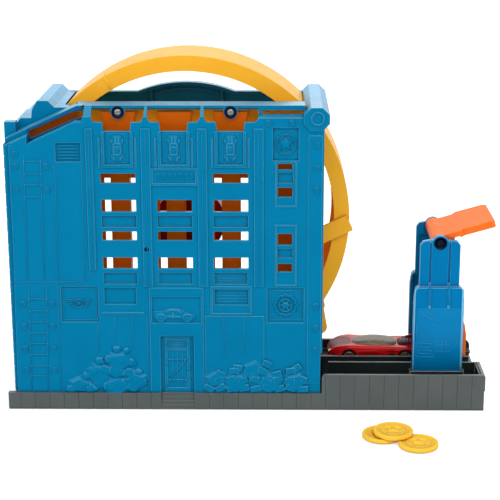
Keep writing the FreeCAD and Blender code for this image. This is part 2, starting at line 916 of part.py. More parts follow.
def front_shell():
    seam = seam_depth - seam_gap / 2
    inner = building_left + shell_wall
    parts = [
        facade(),
        side_column(),
        side_wall(side_setback, bar_front + 1, slope_z(inner) - 0.5),
        side_wall(bar_front, hump_front + 1, slope_z(inner) + strip_lift + 0.5),
        side_wall(hump_front, seam, hump_shoulder - 3),
    ]
    step_top = slope_left_z - 2
    step_right = facade_left + 1.3
    step_back = side_setback + shell_wall
    parts.append(box(building_left, step_right, side_setback, step_back, deck_top, step_top))
    parts.append(box(facade_left - 1, step_right, facade_front, side_setback + 1, deck_top, step_top + 0.5))
    parts += roof_slope()
    plate = [(hump_left, slope_z(hump_left) - 4)] + hump_outline()[:-1]
    plate += [(bar_left, hump_foot), (slope_right_x, bar_top)]
    plate += [(slope_right_x, bay_top), (bar_left, bay_top - 5)]
    parts.append(slab(plate, hump_front, hump_front + shell_wall))
    parts.append(hump_roof(hump_front, seam))
    parts.append(box(hump_right - 1, slope_right_x, hump_front, seam, hump_foot - shell_wall, hump_foot))
    parts += roof_bar() + right_shelf()
    parts.append(corner_post(post_front, seam, True))
    parts.append(tube(post_x + 0.6, post_z + 0.6, 4.8, 4.0, post_front - 0.6, post_front + 0.5))
    inner = building_right - shell_wall
    parts.append(box(inner - 1.2, building_right - 1.2, facade_front, return_back, deck_top, 45.0))
    parts.append(box(inner, building_right, facade_front, return_back, 44.0, post_z - post_height / 2 + 1))
    return fused(parts).cut(loop_disc(1.0, loop_front - 1, seam + 2))


export("front_shell", front_shell())


def parapet_face(drop, y):
    """Upper part of the back wall: level shoulders and a shallow arch."""
    left, right, low = hump_right - 4, post_left + 4, hump_shoulder - 4
    z = parapet_z - drop
    start = Vector(arch_right - drop * 0.3, y, z)
    crown = Vector((arch_left + arch_right) / 2, y, z + arch_rise)
    end = Vector(arch_left + drop * 0.3, y, z)
    corners = [end] + [Vector(*p) for p in ((left, y, z), (left, y, low), (right, y, low), (right, y, z))]
    edges = [Part.LineSegment(a, b).toShape() for a, b in zip(corners, corners[1:] + [start])]
    return Part.Face(Part.Wire([Part.Arc(start, crown, end).toShape()] + edges))


def parapet():
    y = building_back - parapet_depth
    wall = parapet_face(0, building_back - shell_wall).extrude(Vector(0, shell_wall, 0))
    room = parapet_face(shell_wall, y - 1).extrude(Vector(0, parapet_depth + 2, 0))
    coping = parapet_face(0, y).extrude(Vector(0, parapet_depth, 0)).cut(room)
    coping = coping.cut(box(-half, half, 0, building_back + 9, rear_head_z, hump_shoulder - 1))
    parts = [wall, coping]
    arc_x = loop_x - 2.4
    band_reach = 26.0
    back = building_back - 1
    crown = parapet_z + 2.0
    band = tube(arc_x, crown - band_radius, band_radius, band_radius - 1.4, back - 3, back)
    keep = box(arc_x - band_reach, arc_x + band_reach, 0, back + 9, hump_shoulder, crown + 9)
    parts.append(band.common(keep))
    for x in (arc_x - band_reach - 1, arc_x + band_reach + 1):
        parts.append(box(x - 0.9, x + 0.9, y + 1, back, rear_head_z, parapet_z + 3))
    return parts


def rear_shell():
    seam = seam_depth + seam_gap / 2
    back, inside = building_back, building_back - shell_wall
    parts = [side_wall(seam, back, hump_shoulder - 3), hump_roof(seam, back), corner_post(seam, back, False)]
    low = rear_head_z - 6
    parts.append(slab([(hump_left, low)] + hump_outline() + [(hump_right, low)], inside, back))
    parts += parapet()
    left_in, right_in = building_left + rear_column, building_right - rear_column
    top = post_z - post_height / 2 + 1
    head_top = max(hump_shoulder, rear_head_z + 2)
    parts.append(box(building_left, left_in, inside, back, deck_top, hump_shoulder - 4))
    parts.append(box(right_in, building_right, inside, back, deck_top, top))
    parts.append(box(building_right - shell_wall, building_right, loop_back + 1.5, back, deck_top, top))
    parts.append(box(building_left, building_right, inside, back, deck_top, deck_top + rear_sill))
    parts.append(box(building_left, building_right, inside, back, rear_head_z, hump_shoulder - 3))
    parts.append(box(hump_left, building_right, inside, back, rear_head_z, head_top))
    for x, lean in ((left_in, rear_brace), (right_in, -rear_brace)):
        corner = [(x, rear_head_z + 1), (x + lean, rear_head_z + 1), (x, rear_head_z - rear_brace)]
        parts.append(slab(corner, inside, back))
    return fused(parts).cut(loop_disc(1.0, seam - 2, loop_back + 1))


export("rear_shell", rear_shell())


def inner_wall_plate():
    gap = shell_wall + inner_clearance
    left = building_left + gap
    right = building_right - 1.2 - gap
    step_x = bar_left - inner_clearance
    lift = strip_lift - inner_clearance
    outline = [
        (left, deck_top), (right, deck_top), (right, post_z - 12.6), (post_left - 1, post_z - 4.6),
        (post_left - 1, inner_top), (step_x, inner_top), (step_x, slope_z(step_x) + lift),
        (left, slope_z(left) + lift),
    ]
    return slab(outline, inner_front, inner_front + inner_wall)


def inner_wall_openings():
    y0, y1 = inner_front - 1, inner_front + inner_wall + 1
    cuts = []
    for x in bays:
        low = inner_slot_bottom if x == bays[0] else inner_slot_bottom + 30
        cuts.append(box(x - half_window, x + half_window, y0, y1, low, inner_slot_top))
    cuts.append(box(door_x - half_window, bays[2] + half_window, y0, y1, deck_top - 1, 46))
    return cuts


def pillar(x):
    """Hollow post with a flared head, open towards the back."""
    w, head = pillar_width / 2, pillar_head_width / 2
    outline = [
        (x - w, deck_top), (x + w, deck_top), (x + w, pillar_taper_z), (x + head, inner_top),
        (x - head, inner_top), (x - w, pillar_taper_z),
    ]
    post = slab(outline, pillar_front, inner_front + inner_wall)
    inner = w - pillar_wall
    back = inner_front + inner_wall + 1
    room = box(x - inner, x + inner, pillar_front + pillar_wall, back, deck_top - 1, pillar_taper_z)
    return post.cut(room)


def interior_wall():
    wall = inner_wall_plate().cut(inner_wall_openings())
    foot_left = building_left + shell_wall + inner_clearance
    foot_right = building_right - shell_wall - 1.2 - inner_clearance
    foot = box(foot_left, foot_right, inner_front - 6, inner_front + 1, deck_top, deck_top + inner_wall)
    wall = fused([wall, foot] + [pillar(x) for x in bays])
    bores = [rod(x, z, shank_radius, pillar_front - 1, pillar_front + 8) for x, z in screw_spots()]
    return wall.cut(bores)


export("interior_wall", interior_wall())


def hexagon_bar(x, z, radius, y0, y1):
    angles = [math.radians(60 * i) for i in range(6)]
    return slab([(x + radius * math.cos(a), z + radius * math.sin(a)) for a in angles], y0, y1)


def shell_screws():
    """Screws in the roof tabs."""
    screws = []
    for x, z in screw_spots():
        head = rod(x, z, screw_radius, bar_front - 0.6, bar_front + 0.8)
        screws.append(head.fuse(hexagon_bar(x, z, shank_radius, bar_front + 0.7, bar_front + 9)))
    return Part.makeCompound(screws)


export("shell_screws", shell_screws())


# Safe

hinge_x = vault_x - vault_radius - 2.4
hinge_y = vault_back + door_gap + door_thickness / 2


def hinge_ear(z):
    height = (24.0 - knuckle_height) / 2 - 0.2
    knuckle = upright(hinge_x, hinge_y, knuckle_radius, z, z + height)
    arm = box(hinge_x - 1.2, vault_x - vault_radius + 3, vault_back - 8, hinge_y, z, z + height)
    arm = arm.cut(rod(vault_x, vault_z, vault_radius - 0.5, vault_back - 20, vault_back + 20))
    return knuckle.fuse(arm).cut(upright(hinge_x, hinge_y, vault_pin_radius, z - 1, z + height + 1))


def vault_drum():
    y0, y1 = vault_front, vault_back
    drum = rod(vault_x, vault_z, vault_radius, y0, y1)
    drum = drum.cut(rod(vault_x, vault_z, vault_radius - vault_wall, y0 + vault_wall, y1 + 1))
    mount = inner_front + inner_wall
    neck = box(vault_x - neck_width / 2, vault_x + neck_width / 2, mount, y0 + 0.5, vault_z - 7, vault_z + 7)
    reach = half_window + 7.0
    plate = box(door_x - reach, door_x + reach, mount, mount + 2.4, vault_z - 14, vault_z + 14)
    ears = [hinge_ear(vault_z - 12), hinge_ear(vault_z + knuckle_height / 2 + 0.2)]
    return fused([drum, neck, plate] + ears)


def vault_door():
    """Round door with its hinge barrel and three handles."""
    y0 = vault_back + door_gap
    y1 = y0 + door_thickness
    parts = [rod(vault_x, vault_z, vault_radius - 0.6, y0, y1)]
    for i in range(3):
        spoke = box(-1.1, 13.5, y1 - 0.5, y1 + 2.6, -1.3, 1.3)
        spoke.rotate(Vector(0, 0, 0), Vector(0, 1, 0), 120 * i + 30)
        spoke.translate(Vector(vault_x, 0, vault_z))
        parts.append(spoke)
    low, high = vault_z - knuckle_height / 2, vault_z + knuckle_height / 2
    parts.append(upright(hinge_x, hinge_y, knuckle_radius, low, high))
    parts.append(box(hinge_x, vault_x - vault_radius + 3, hinge_y - 1.2, hinge_y + 1.2, low, high))
    return fused(parts).cut(upright(hinge_x, hinge_y, vault_pin_radius + pin_clearance, low - 1, high + 1))


export("vault_drum", vault_drum())
export("vault_door", vault_door())
export("vault_pin", upright(hinge_x, hinge_y, vault_pin_radius, vault_z - 12, vault_z + 12))


# Towers


def tower_outline(narrowing, shoulder):
    """Wide foot, narrower neck and sloped shoulders."""
    w, n = tower_width / 2 - narrowing, tower_neck_width / 2 - narrowing
    x, s, t = tower_x, shoulder, tower_top
    right = [(x + w - 0.4, tower_base), (x + w, tower_base + 5), (x + w, s - 9), (x + w - 1.2, s - 1.6)]
    right += [(x + w - 3, s), (x + n, s), (x + n, t - 1), (x + n - 2.2, t + 2), (x + n - 8, t + 3.2)]
    left = [(2 * x - px, pz) for px, pz in reversed(right)]
    return right + left


def tower(depth, narrowing=0.0, shoulder=tower_shoulder):
    """A hollow tower with its outer face at depth 0 and its open inner side at the given depth."""
    body = slab(tower_outline(narrowing, shoulder), 0, depth)
    left, right = tower_x - tower_width, tower_x + tower_width
    body = body.cut(box(left, right, -1, tower_setback, shoulder, tower_top + 10))
    parts = [body, rod(pivot_x, pivot_z, boss_radius, tower_setback, depth)]
    rib = 1.0
    cuts = []
    for dx in (-7.0, 7.0):
        x = tower_x + dx
        cuts.append(box(x - rib / 2, x + rib / 2, -1, tower_setback + 0.6, shoulder, tower_top + 10))
        parts.append(box(x - rib / 2, x + rib / 2, -0.5, 0.5, shoulder - 16, shoulder - 2))
    w, n = (width / 2 - narrowing - tower_wall for width in (tower_width, tower_neck_width))
    ceiling = shoulder - tower_wall
    low_room = box(tower_x - w, tower_x + w, tower_wall, depth + 1, tower_base + 6, ceiling)
    brace = box(left, right, 0, depth, 55, 57)
    cuts.append(low_room.cut(brace))
    neck_wall = tower_setback + tower_wall
    if depth > neck_wall + 1:
        neck_top = pivot_z - boss_radius - 2
        cuts.append(box(tower_x - n, tower_x + n, neck_wall, depth + 1, ceiling - 1, neck_top))
    cuts.append(rod(pivot_x, pivot_z, pin_radius, -1, depth + 1))
    cuts.append(rod(pivot_x, pivot_z, boss_recess, -1, tower_setback + boss_recess_depth))
    return fused(parts).cut(cuts)


def tower_front_shape():
    body = tower(tower_inner_front - tower_front)
    body.translate(Vector(0, tower_front, 0))
    return body


def tower_rear_shape():
    body = tower(tower_back - tower_inner_back, rear_narrowing, tower_shoulder - rear_shoulder_drop)
    body = body.mirror(Vector(0, 0, 0), Vector(0, 1, 0))
    body.translate(Vector(0, tower_back, 0))
    left, right = tower_x - tower_width, tower_x + tower_width
    rail_back = lane_back + rail_wall
    return body.cut(box(left, right, tower_inner_back - 1, rail_back, tower_base - 1, rail_top + 0.3))


export("tower_front", tower_front_shape())
export("tower_rear", tower_rear_shape())


# Lever


def lever_pin():
    inset = tower_setback + 0.8
    return rod(pivot_x, pivot_z, pin_radius, tower_front + inset, tower_back - inset)


def return_spring():
    """Torsion spring around the pin, in the pocket of the lever's hub."""
    inner = pin_radius + 0.4
    return tube(pivot_x, pivot_z, inner + spring_wire, inner, tower_inner_front, lever_front + spring_pocket)


def handle():
    """Flat handle, drawn level about the pivot and then tilted."""
    top = handle_lift
    low = top - handle_thickness
    step, length, corner = handle_step, handle_length, 3.0
    y0, y1 = handle_front, handle_back
    neck = box(0, step + 1, lever_front, lever_back, low, top)
    outline = [
        (step - 1, lever_front), (step + 2, y0), (length - corner / 2, y0), (length, y0 + corner / 2),
        (length, y1 - corner), (length - corner, y1), (step + 2, y1), (step - 1, lever_back),
    ]
    plate = plan(outline, low, top)
    skirt = plan(outline, low - 1.2, low)
    room = box(step + 1, length - 2, y0 + 2, y1 - 2, low - 2, low)
    shape = neck.fuse([plate, skirt.cut(room)])
    shape.rotate(Vector(0, 0, 0), Vector(0, 1, 0), -lever_tilt)
    shape.translate(Vector(pivot_x, 0, pivot_z))
    return shape


def slam_lever():
    """Handle, hub, arm and striker in one piece."""
    a0, a1 = lane_middle - arm_width / 2, lane_middle + arm_width / 2
    back = striker_left + striker_thickness
    hub = rod(pivot_x, pivot_z, hub_radius, lever_front, lever_back)
    spine = slab(
        [
            (pivot_x - 3, pivot_z - 4), (pivot_x + 14, pivot_z + 6), (pivot_x + 13, pivot_z - 4),
            (back - 1, striker_top), (striker_left + 1.5, striker_top), (pivot_x + 7, pivot_z - 8),
        ],
        a0, a1,
    )
    s0, s1 = lane_middle - striker_width / 2, lane_middle + striker_width / 2
    striker = box(striker_left, back, s0, s1, striker_bottom, striker_top)
    face_edges = [e for e in striker.Edges if abs(e.CenterOfMass.x - striker_left) < 0.01]
    striker = striker.makeFillet(1.2, face_edges)
    shoulder = slab(
        [
            (striker_left + 0.5, striker_top - 1), (back, striker_top - 1), (back - 1, striker_top + 6),
            (striker_left + 2.5, striker_top + 6),
        ],
        s0 + 2, s1 - 2,
    )
    shape = fused([handle(), hub, spine, striker, shoulder])
    pocket = pin_radius + 0.4 + spring_wire + 0.4
    return shape.cut([
        rod(pivot_x, pivot_z, pin_radius + pin_clearance, 0, 120),
        rod(pivot_x, pivot_z, pocket, lever_front - 1, lever_front + spring_pocket),
    ])


export("lever_pin", lever_pin())
export("return_spring", return_spring())
export("slam_lever", slam_lever())


# Car

front_axle_x = car_nose_x + front_axle_offset
rear_axle_x = front_axle_x + wheel_base
axle_z = lane_run + wheel_radius


def across(x, outline):
    """Ring of points across the car, from half of its outline as (half width, height)."""
    near = [(car_nose_x + x, lane_middle - w, lane_run + h) for w, h in outline]
    far = [(car_nose_x + x, lane_middle + w, lane_run + h) for w, h in reversed(outline)]
    return near + far


def hull_ring(x, belly, width, bulge, shoulder, crest, hood):
    """Section of the body: sill, bulging flank, shoulder, crest of the wing and bonnet."""
    return across(x, [
        (width * 0.86, belly), (width * 0.97, belly + 1.1), (width, bulge), (width * 0.95, shoulder),
        (width * 0.84, crest), (width * 0.46, hood),
    ])


def cabin_ring(x, width, low, top):
    """Section of the glass cabin or of the engine cover, upright sides leaning in to the roof."""
    rise = top - low
    shape = ((1.0, 0.0), (0.93, 0.45), (0.72, 0.86), (0.36, 1.0))
    return across(x, [(width * share, low + rise * height) for share, height in shape])


def wheel_arch(x, y0, y1):
    """Room for a wheel, with flat sides that keep clear of the tyre."""
    corner = (wheel_radius + arch_clearance) / math.cos(math.pi / 12)
    angles = [math.radians(30 * i + 15) for i in range(12)]
    return slab([(x + corner * math.cos(a), axle_z + corner * math.sin(a)) for a in angles], y0, y1)


def car_body():
    hull = faceted([
        hull_ring(0.0, 3.4, 9.0, 4.4, 5.2, 5.7, 5.8),
        hull_ring(2.5, 2.5, 12.4, 4.9, 6.6, 7.4, 7.2),
        hull_ring(8.0, 2.1, 14.6, 5.6, 9.4, 10.7, 9.0),
        hull_ring(16.0, 2.0, 15.3, 6.2, 11.1, 12.3, 10.2),
        hull_ring(24.0, 2.0, 15.0, 6.4, 10.2, 11.4, 10.8),
        hull_ring(33.0, 1.9, 14.3, 6.2, 9.0, 10.2, 11.0),
        hull_ring(43.0, 1.9, 14.3, 6.2, 9.4, 10.6, 11.3),
        hull_ring(51.0, 2.0, 15.1, 6.6, 11.0, 12.1, 11.7),
        hull_ring(59.0, 2.1, 15.5, 7.0, 12.2, 13.2, 12.3),
        hull_ring(67.0, 2.6, 15.2, 7.4, 12.0, 13.0, 12.3),
        hull_ring(72.0, 3.6, 14.3, 7.6, 11.3, 12.4, 11.9),
        hull_ring(car_length, 4.6, 13.1, 7.7, 10.4, 11.2, 11.0),
    ])
    cuts = []
    for x in (front_axle_x, rear_axle_x):
        for side in (-1, 1):
            outer = lane_middle + side * (car_width / 2 + 2)
            inner = lane_middle + side * (car_width / 2 - wheel_inset - wheel_width - arch_clearance)
            y0, y1 = sorted((outer, inner))
            cuts.append(wheel_arch(x, y0, y1))
        cuts.append(box(x - 1.2, x + 1.2, lane_middle - 20, lane_middle + 20, lane_run - 1, axle_z + 0.9))
    belly = chassis_width / 2 + 0.1
    front, tail = car_nose_x + chassis_end - 1, car_nose_x + car_length - chassis_end + 1
    cuts.append(box(front, tail, lane_middle - belly, lane_middle + belly, lane_run - 1, lane_run + 8))
    rear = car_nose_x + car_length
    spoiler = slab(
        [
            (rear - 12.5, lane_run + 12), (rear - 4, lane_run + 12), (rear - 1, lane_run + 15.6),
            (rear - 6, lane_run + 14.6),
        ],
        lane_middle - 12.8, lane_middle + 12.8,
    )
    gap = box(rear - 15, rear + 5, lane_middle - 9, lane_middle + 9, lane_run + 11, lane_run + 13.9)
    return hull.cut(cuts).fuse(spoiler.cut(gap)).removeSplitter()


def car_canopy(body):
    dome = faceted([
        cabin_ring(19.0, 6.6, 9.6, 11.2),
        cabin_ring(25.0, 9.6, 9.6, 13.8),
        cabin_ring(31.0, 10.8, 9.6, 15.9),
        cabin_ring(38.0, 11.2, 9.6, 16.8),
        cabin_ring(45.0, 11.0, 9.6, 16.5),
        cabin_ring(55.0, 8.8, 10.2, 14.6),
    ])
    return dome.cut(body)


def car_engine_cover(body, canopy):
    cover = faceted([
        cabin_ring(54.9, 7.6, 10.4, 13.9),
        cabin_ring(60.0, 7.0, 10.8, 14.1),
        cabin_ring(66.0, 6.0, 11.0, 13.5),
    ])
    return cover.cut([body, canopy])


def car_chassis():
    y0, y1 = lane_middle - chassis_width / 2, lane_middle + chassis_width / 2
    front, tail = car_nose_x + chassis_end, car_nose_x + car_length - chassis_end
    plate = box(front, tail, y0, y1, lane_run + ride_height, lane_run + 7.9)
    low = lane_run + ride_height + 1.4
    room = box(front_axle_x + 5, rear_axle_x - 5, y0 + 2.4, y1 - 2.4, low, lane_run + 9)
    bores = [
        rod(x, axle_z, axle_radius + pin_clearance, lane_middle - 20, lane_middle + 20)
        for x in (front_axle_x, rear_axle_x)
    ]
    return plate.cut([room] + bores)


def axle(x):
    reach = car_width / 2 - wheel_inset - 0.3
    return rod(x, axle_z, axle_radius, lane_middle - reach, lane_middle + reach)


def wheel(x, side):
    outer = lane_middle + side * (car_width / 2 - wheel_inset)
    y0, y1 = sorted((outer, outer - side * wheel_width))
    return tube(x, axle_z, wheel_radius, axle_radius, y0, y1)


def wheels(x):
    return Part.makeCompound([wheel(x, -1), wheel(x, 1)])


body = car_body()
canopy = car_canopy(body)
export("car_body", body)
export("car_canopy", canopy)
export("car_engine_cover", car_engine_cover(body, canopy))
export("car_chassis", car_chassis())
export("car_front_axle", axle(front_axle_x))
export("car_rear_axle", axle(rear_axle_x))
export("car_front_wheels", wheels(front_axle_x))
export("car_rear_wheels", wheels(rear_axle_x))


# Coins


def coin(x, y, z):
    return upright(x, y, coin_radius, z, z + coin_thickness)


export("coin_1", coin(coin_pile_x, coin_pile_y, 0.0))
export("coin_2", coin(coin_pile_x + top_coin_right, coin_pile_y - top_coin_front, coin_thickness))
export("coin_3", coin(coin_pile_x + right_coin_right, coin_pile_y - right_coin_front, 0.0))
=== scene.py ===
import bmesh
import bpy
from math import cos, pi, radians, sin, tau
from mathutils import Matrix, Vector, noise as field
from mathutils.bvhtree import BVHTree


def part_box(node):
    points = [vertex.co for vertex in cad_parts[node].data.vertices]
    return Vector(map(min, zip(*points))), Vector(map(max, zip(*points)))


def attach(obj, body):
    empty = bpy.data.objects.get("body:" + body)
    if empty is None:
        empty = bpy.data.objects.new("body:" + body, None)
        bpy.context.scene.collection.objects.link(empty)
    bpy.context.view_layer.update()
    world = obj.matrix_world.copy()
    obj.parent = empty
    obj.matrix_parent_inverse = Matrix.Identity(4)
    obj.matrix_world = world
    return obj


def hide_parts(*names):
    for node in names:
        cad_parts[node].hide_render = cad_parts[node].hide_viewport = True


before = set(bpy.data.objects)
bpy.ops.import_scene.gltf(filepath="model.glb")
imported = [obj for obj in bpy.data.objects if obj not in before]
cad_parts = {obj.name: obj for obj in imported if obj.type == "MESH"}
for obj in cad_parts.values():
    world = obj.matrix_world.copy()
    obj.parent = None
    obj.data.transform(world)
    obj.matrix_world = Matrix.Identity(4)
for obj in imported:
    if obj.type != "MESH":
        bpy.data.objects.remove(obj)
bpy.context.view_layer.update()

MM = 0.001

# Places on the solids in millimetres: X to the right, Y from the front edge of the base to the back, Z up.
HALF_DEPTH = 53.5
FACADE_Y = 2.0
WALL_X = -170.4
HEAP_Z = 12.8
BAYS = (-89.75, -49.9, -10.05)
BAY_STEP = 39.85
DOOR_X = BAYS[1]
BAR_Y = 12.6
SLOT_FACES = ((12.1, -1), (12.9, 1))
TOWER_X = 142.6
TOWER_Y = 23.5
NECK_Y = 27.0
TOWER_BACK_Y = 84.0
RIB_X = (TOWER_X - 7.0, TOWER_X + 7.0)
PIN_Z = 119.9
TROUGH_Z = 27.5
LOOP_X, LOOP_Z, LOOP_RADIUS = -44.0, 135.4, 120.3
LOOP_FRONT_Y = 41.0
SAFE = (-42.0, 130.0)
DRUM_FRONT_Y = 52.0
DOOR_BACK_Y = 91.4
SIDES = (-1, 1)


# ---- materials ----


def new_material(name):
    mat = bpy.data.materials.new(name)
    mat.use_nodes = True
    tree = mat.node_tree
    shader = tree.nodes["Principled BSDF"]
    return mat, tree, shader


def feed(tree, node, inputs):
    """Sets a node's inputs, each to a plain value or to the output of another node."""
    for key, value in inputs.items():
        if isinstance(value, bpy.types.NodeSocket):
            tree.links.new(value, node.inputs[key])
        else:
            node.inputs[key].default_value = value


def add(tree, kind, inputs, **settings):
    """The outputs of a new node."""
    node = tree.nodes.new("ShaderNode" + kind)
    for key, value in settings.items():
        setattr(node, key, value)
    feed(tree, node, inputs)
    return node.outputs


def coords_in(tree):
    return add(tree, "TexCoord", {})["Object"]


def noise(tree, coords, scale, detail=3.0, rough=0.55):
    inputs = {"Scale": scale, "Detail": detail, "Roughness": rough, "Vector": coords}
    return add(tree, "TexNoise", inputs)["Fac"]


def map_range(tree, value, from_low, from_high, low, high):
    inputs = {"Value": value, "From Min": from_low, "From Max": from_high, "To Min": low, "To Max": high}
    return add(tree, "MapRange", inputs)["Result"]


def spread(tree, value, low, high):
    """Maps the middle of a noise onto low to high."""
    return map_range(tree, value, 0.25, 0.75, low, high)


def share(tree, mask, low, high):
    """Maps a mask of 0 to 1 onto low to high."""
    return map_range(tree, mask, 0.0, 1.0, low, high)


def blend(tree, factor, first, second):
    first, second = ((*c, 1.0) if isinstance(c, tuple) else c for c in (first, second))
    return add(tree, "Mix", {0: factor, 6: first, 7: second}, data_type="RGBA")[2]


def rounded_normal(tree, radius):
    """The surface normal, rounded off along the edges."""
    return add(tree, "Bevel", {"Radius": radius}, samples=6)["Normal"]


def edge_highlight_mask(tree, rounded):
    """Near 1 along rounded edges, where a highlight is painted, 0 on flat faces."""
    normal = add(tree, "NewGeometry", {})["Normal"]
    dot = add(tree, "VectorMath", {0: rounded, 1: normal}, operation="DOT_PRODUCT")["Value"]
    return map_range(tree, dot, 0.995, 0.86, 0.0, 1.0)


def painted_shade_mask(tree, reach):
    """1 in creases and inner corners, 0 in the open, from ambient occlusion: the mask of painted shade."""
    shade = add(tree, "AmbientOcclusion", {"Distance": reach}, samples=6)["AO"]
    return map_range(tree, shade, 0.95, 0.45, 0.0, 1.0)


def upward_mask(tree):
    """1 on faces that look up, 0 on upright ones."""
    up = add(tree, "SeparateXYZ", {0: add(tree, "NewGeometry", {})["Normal"]})["Z"]
    return map_range(tree, up, 0.3, 0.95, 0.0, 1.0)


def bump(tree, height, normal, strength, distance):
    inputs = {"Strength": strength, "Distance": distance, "Height": height, "Normal": normal}
    return add(tree, "Bump", inputs)["Normal"]


def tinted(color, strength):
    return tuple(min(1.0, strength * c) for c in color)


def plastic(name, color, painted_light_color, dark, gloss=0.32, edge=0.0006, edge_highlight=0.5, shine=0.1,
            top_shine=0.5, glow=0.0, recess_shade=None, painted_top_light=0.0, lit=None, inner=0.0):
    """Moulded plastic: slow flow marks in colour and gloss, fine skin, painted highlights along the edges and
    painted shade in creases. Faces that look up get a paler colour and a stronger sheen as painted light. lit
    paints the lighter colour of places that light comes through to, and gives the ranges in Y, Z and X over
    which it sets in."""
    mat, tree, shader = new_material(name + "_plastic")
    coords = coords_in(tree)
    slow = noise(tree, coords, 45.0, 2.0)
    fine = noise(tree, coords, 900.0, 2.0)
    body = blend(tree, spread(tree, slow, 0.0, 1.0), dark, color)
    # Painted light: blended towards the lit colour where all the ranges are met.
    if lit:
        bright, ranges = lit
        place = add(tree, "SeparateXYZ", {0: coords})
        masks = [map_range(tree, place[axis], start, end, 0.0, 1.0) for axis, start, end in ranges]
        lit_share = masks[0]
        for mask in masks[1:]:
            lit_share = add(tree, "Math", {0: lit_share, 1: mask}, operation="MULTIPLY")[0]
        body = blend(tree, lit_share, body, bright)
    # Painted light: faces that look up are blended towards the paler colour.
    if painted_top_light > 0:
        body = blend(tree, share(tree, upward_mask(tree), 0.0, painted_top_light), body, painted_light_color)
    # Painted shade: creases and inner corners are darkened by ambient occlusion.
    crevice_shade = share(tree, painted_shade_mask(tree, 0.0022), 0.0, 0.75)
    body = blend(tree, crevice_shade, body, recess_shade or tinted(dark, 0.3))
    rounded = rounded_normal(tree, edge)
    feed(tree, shader, {
        # Painted highlight: rounded edges are blended towards the paler colour.
        "Base Color": blend(tree, share(tree, edge_highlight_mask(tree, rounded), 0.0, edge_highlight), body, painted_light_color),
        "Roughness": spread(tree, noise(tree, coords, 140.0), gloss - 0.05, gloss + 0.07),
        # Painted sheen: the specular level rises on faces that look up.
        "Specular IOR Level": share(tree, upward_mask(tree), shine, top_shine),
        "Normal": bump(tree, fine, rounded, 0.05, 0.0003),
    })
    if glow > 0:
        radii = (1.0, 0.4, 0.1)
        feed(tree, shader, {"Subsurface Weight": glow, "Subsurface Radius": radii, "Subsurface Scale": 0.008})
    # Painted glow: the surface gives off a little light in the paler colour, to lift its shade.
    if inner > 0:
        feed(tree, shader, {"Emission Color": (*painted_light_color, 1.0), "Emission Strength": inner})
    return mat


def bright_metal(name, color, rough=0.3):
    mat, tree, shader = new_material(name)
    streaks = noise(tree, coords_in(tree), 700.0, 4.0, 0.7)
    body = blend(tree, streaks, tinted(color, 0.8), color)
    # Painted shade: creases and inner corners are darkened by ambient occlusion.
    crevice_shade = share(tree, painted_shade_mask(tree, 0.001), 0.0, 0.8)
    feed(tree, shader, {
        "Base Color": blend(tree, crevice_shade, body, tinted(color, 0.2)),
        "Metallic": 1.0,
        "Roughness": spread(tree, streaks, rough - 0.08, rough + 0.1),
        "Normal": bump(tree, streaks, rounded_normal(tree, 0.0003), 0.1, 0.0001),
    })
    return mat


def car_paint(name, color, deep, metal, coat, shine):
    """Metallic lacquer: fine flakes under a clear coat."""
    mat, tree, shader = new_material(name + "_lacquer")
    coords = coords_in(tree)
    flakes = add(tree, "TexVoronoi", {"Scale": 5000.0, "Vector": coords})["Distance"]
    body = blend(tree, spread(tree, flakes, 0.0, 1.0), color, deep)
    # Painted shade: creases and inner corners are darkened by ambient occlusion.
    crevice_shade = share(tree, painted_shade_mask(tree, 0.0012), 0.0, 0.7)
    feed(tree, shader, {
        "Base Color": blend(tree, crevice_shade, body, tinted(deep, 0.2)),
        "Metallic": metal,
        "Roughness": spread(tree, noise(tree, coords, 300.0), 0.26, 0.38),
        "Normal": bump(tree, flakes, rounded_normal(tree, 0.0003), 0.03, 0.0001),
        "Specular IOR Level": shine,
        "Coat Weight": coat,
        "Coat Roughness": 0.06,
    })
    return mat


def smoky_glass(name, color):
    mat, tree, shader = new_material(name)
    haze = noise(tree, coords_in(tree), 200.0)
    feed(tree, shader, {
        "Base Color": blend(tree, haze, color, tinted(color, 1.2)),
        "Roughness": spread(tree, haze, 0.04, 0.1),
        "Transmission Weight": 0.85,
        "IOR": 1.2,
    })
    return mat


# Painted light on the orange wall: lighter towards the back, towards the bay heads and right of the far left.
bays_lit = ((1.0, 0.45, 0.02), (("Y", -0.0375, -0.034), ("Z", 0.188, 0.208), ("X", -0.12, -0.114)))

